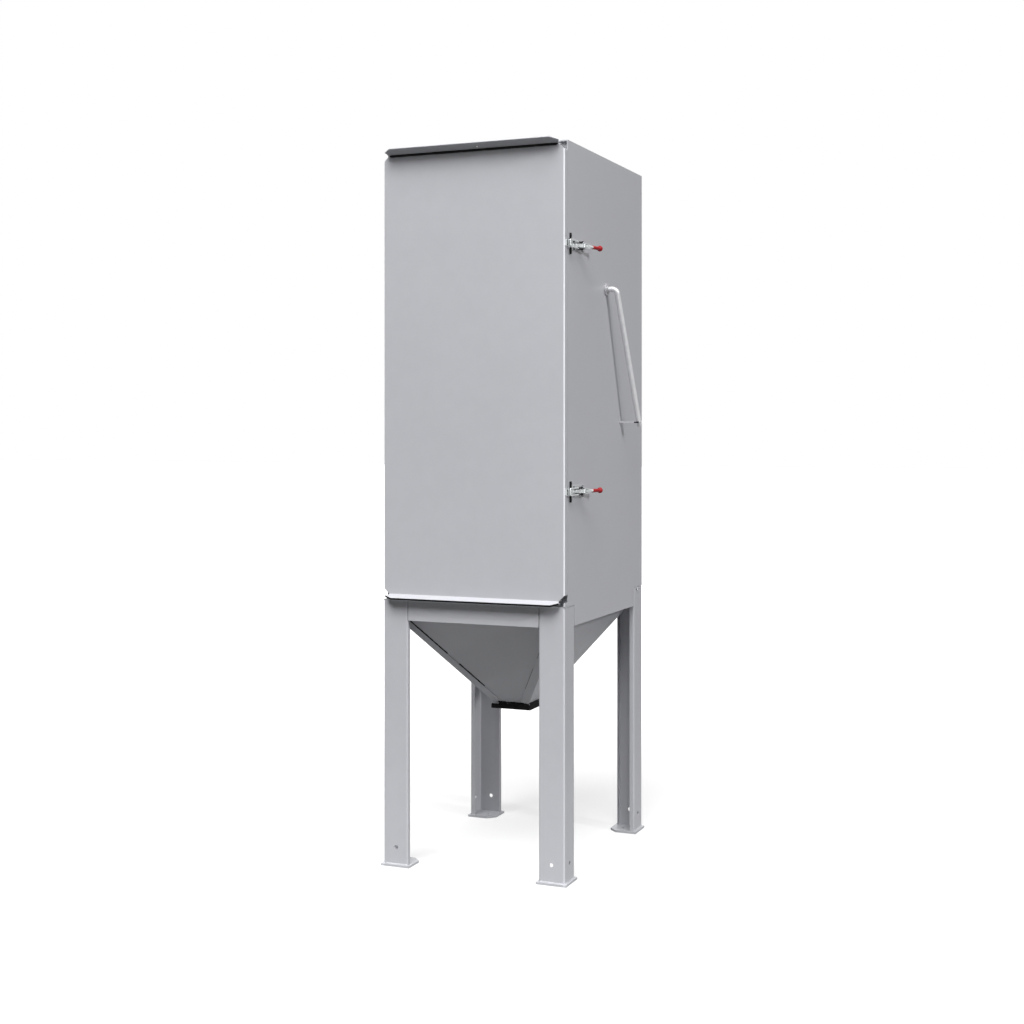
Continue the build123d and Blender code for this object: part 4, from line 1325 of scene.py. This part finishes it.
@dataclass
class Beads:
    """The feet's weld beads, the flange's sealant, and black beads of painted shade at the hopper's seams and
    the door's lips.
    """

    finishes: Finishes
    foot_top: float = 0.008
    flange: float = 0.097
    bend: float = 0.006
    weld: float = 0.0035
    outlet: tuple[float, float] = (0.070, 0.556)
    flange_half: float = 0.0762
    hopper_top: tuple[float, float, float] = (0.3435, 0.4235, 0.936)
    strip: float = 0.032
    strip_end: float = 0.034
    seam_spans: tuple[tuple[float, float], ...] = ((0.18, 0.435), (0.545, 1.0))
    fold: tuple[float, float] = (0.3285, 2.584)
    lower_fold: float = 0.991
    lip_slope: tuple[float, float, float] = (0.0, -0.030, -0.016)
    lip_halves: tuple[float, float] = (0.3385, 0.3105)
    lip_sheet: float = 0.003

    def build(self) -> None:
        """Builds the beads."""
        self._feet()
        self._hopper_seam_shade()
        self._lip_shade_lines()

    def _feet(self) -> None:
        """The fillet weld along each leg's two outer faces."""
        shell = Shell()
        for side in (-1.0, 1.0):
            for end in (-1.0, 1.0):
                corner = np.array([side * SIDE, end * BACK, self.foot_top])
                up = (0.0, 0.0, self.weld)
                shell.bead(corner - [side * self.flange, 0, 0], corner - [side * self.bend, 0, 0],
                           (0, end * self.weld, 0), up, 0.12, 3)
                shell.bead(corner - [0, end * self.flange, 0], corner - [0, end * self.bend, 0],
                           (side * self.weld, 0, 0), up, 0.12, 5)
        shell.piece("foot_welds", self.finishes.paint, Slot.PAINT, Body.CABINET, crease=60.0)

    def _hopper_seam_shade(self) -> None:
        """Painted shade: black beads along the inner edge of each corner strip stand for the shadow gap
        there, broken in two spans along each seam, and thin at the front right seam. The flange's sealant
        joins them in one piece.
        """
        shell = Shell()
        for side in (-1.0, 1.0):
            for end in (-1.0, 1.0):
                low = np.array([side * self.outlet[0], end * self.outlet[0], self.outlet[1]])
                high = np.array(self.hopper_top) * [side, end, 1.0]
                along = unit(high - low)
                normal = np.cross(along, (1.0, 0.0, 0.0))
                normal = unit(normal) * -np.sign(normal[2])
                across = unit(np.cross(along, normal))
                across *= -side * np.sign(across[0])
                edge = low + across * self.strip
                foot = edge + along * (0.004 + (low[2] - edge[2]) / along[2])
                reach = float(np.linalg.norm(high - low)) - self.strip_end
                head = edge + along * (reach - 0.004)
                # Painted shade: the beads are thin at the front right seam and wide elsewhere.
                wide = 0.0012 if side > 0.0 > end else 0.0042
                for start, stop in self.seam_spans:
                    shell.bead(foot + (head - foot) * start, foot + (head - foot) * stop,
                               across * wide, normal * wide * 0.6, 0.25, int(10 * stop) + 3)
        self._flange_sealant(shell)
        shell.piece("hopper_sealant_and_seam_shade", self.finishes.rubber, Slot.RUBBER, Body.CABINET, crease=60.0)

    def _flange_sealant(self, shell: Shell) -> None:
        """The ragged sealant squeezed up in two rings, round the hopper's foot and at the flange's edge.

        Both start short of the front left corner; a short tail runs up the hopper's face there.

        Args:
            shell: The mesh that it is added to.
        """
        half, level = self.outlet
        left = -0.72 * half
        foot = np.array([left, -half, level - 0.0006])
        face = unit([0.0, half - self.hopper_top[1], self.hopper_top[2] - level])
        shell.bead(foot, foot + face * 0.015, (0.0024, 0, 0), (0, -0.0024, -0.0022), 0.25, 21)
        rings = ((half, level - 0.0006, 0.0058, 31), (self.flange_half, level - 0.0056, 0.0030, 41))
        for reach, low, wide, seed in rings:
            corners = [(left, -reach), (reach, -reach), (reach, reach), (-reach, reach), (-reach, -reach)]
            points = np.array([(x, y, low) for x, y in corners])
            for number, (start, stop) in enumerate(zip(points[:-1], points[1:])):
                way = unit(stop - start)
                outward = np.array([way[1], -way[0], 0.0])
                shell.bead(start, stop, outward * wide, (0, 0, 0.0074), 0.45, seed + number)

    def _lip_shade_lines(self) -> None:
        """Painted shade: a black bead in the upper lip's fold and a black strip on the lower lip's free edge
        stand for the dark shade lines there.
        """
        half, level = self.fold
        Shell().bead((-half, FRONT, level), (half, FRONT, level), (0, -0.0050, 0.0019), (0, 0, -0.0062),
                     0.06, 2).piece("upper_lip_shade_bead", self.finishes.rubber, Slot.RUBBER, Body.DOOR)
        self._lower_shade_strip()

    def _lower_shade_strip(self) -> None:
        """Painted shade: a black strip over the lower lip's free edge and its two slanted ends, for the
        shadow line under the lip.
        """
        slope = unit(self.lip_slope)
        across = np.cross(slope, (1.0, 0.0, 0.0))
        run = float(np.linalg.norm(self.lip_slope))
        flare, tip = self.lip_halves
        flat = [(flare - 0.001, 0.56 * run), (tip, run + 0.0006)]
        flat += [(-x, out) for x, out in reversed(flat)]
        corners = [np.array([x, FRONT, self.lower_fold]) + out * slope for x, out in flat]
        path = filleted(np.array(corners) + across * self.lip_sheet * 0.5, 0.004)
        outline = rounded_rectangle((0, 0, 0), (0.0015, 0, 0), (0, 0.0034, 0), 0.0012)[:, :2]
        shade_strip = Shell().sweep(outline, path, across)
        shade_strip.piece("lower_lip_shade_strip", self.finishes.rubber, Slot.RUBBER, Body.DOOR)


@dataclass
class Fixings:
    """The screws under the upper lip, low on the side wall and round the air outlet, and the peg's sleeve."""

    finishes: Finishes
    lip_place: tuple[float, float, float] = (0.027, FRONT - 0.016, 2.5903)
    lip_way: tuple[float, float, float] = (0.0, -0.375, -0.927)
    wall_place: tuple[float, float, float] = (SIDE, 0.366, 0.961)
    sleeve_back: float = 0.0270
    sleeve_length: float = 0.0198
    sleeve_radius: float = 0.0027
    sleeve_ease: float = 0.00015
    collar_ring: float = 0.115
    collar_face: float = 0.4355
    collar_level: float = 2.290

    def build(self) -> None:
        """Builds the screws and the peg's sleeve."""
        self._lip_screw()
        wall = Shell().screw(self.wall_place, (1, 0, 0), 0.0125, 0.0055)
        wall.piece("wall_screw", self.finishes.bright, Slot.BRIGHT, Body.CABINET)
        self._peg_sleeve()
        self._collar_screws()

    def _lip_screw(self) -> None:
        """The domed head under the upper lip, square to the lip's slope."""
        dome = [(0.0, 0.0), (0.0, 0.0046), (0.0006, 0.0046), (0.0018, 0.0037), (0.0026, 0.0020),
                (0.0028, 0.0)]
        head = Shell().turn(dome, self.lip_place, self.lip_way, sides=28)
        head.piece("lip_screw", self.finishes.bright, Slot.BRIGHT, Body.DOOR)

    def _peg_sleeve(self) -> None:
        """The dark sleeve on the lever's peg, set back from the peg's end."""
        low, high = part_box("lever_peg")
        middle = [0.5 * (near + far) for near, far in zip(low, high)]
        wide, long, ease = self.sleeve_radius, self.sleeve_length, self.sleeve_ease
        outline = [(0.0, 0.0), (0.0, wide - ease), (4.0 * ease, wide), (long - 4.0 * ease, wide),
                   (long, wide - ease), (long, 0.0)]
        start = (high[0] - self.sleeve_back, middle[1], middle[2])
        sleeve = Shell().turn(outline, start, (1, 0, 0), sides=28)
        sleeve.piece("peg_sleeve", self.finishes.dark, Slot.DARK, Body.CABINET)

    def _collar_screws(self) -> None:
        """The ring of screws in the air outlet's collar."""
        collar, ring = Shell(), self.collar_ring
        for turn in np.radians(np.arange(22.5, 360.0, 45.0)):
            place = (ring * math.cos(turn), self.collar_face, self.collar_level + ring * math.sin(turn))
            collar.screw(place, (0, 1, 0), 0.0115, 0.0050)
        collar.piece("outlet_collar_screws", self.finishes.bright, Slot.BRIGHT, Body.CABINET)


def main() -> None:
    """Builds the stage, the finishes and the pieces in order."""
    logging.basicConfig(level=logging.INFO, format="%(name)s: %(message)s")
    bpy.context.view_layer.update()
    finishes = Finishes()
    Studio().build()
    Sheetwork(finishes).build()
    FilterBags(finishes).build()
    for label, level in CLAMP_LEVELS.items():
        ClampDetails(finishes, level, label).build()
    OutletGasket(finishes).build()
    Beads(finishes).build()
    Fixings(finishes).build()


if __name__ == "__main__":
    main()
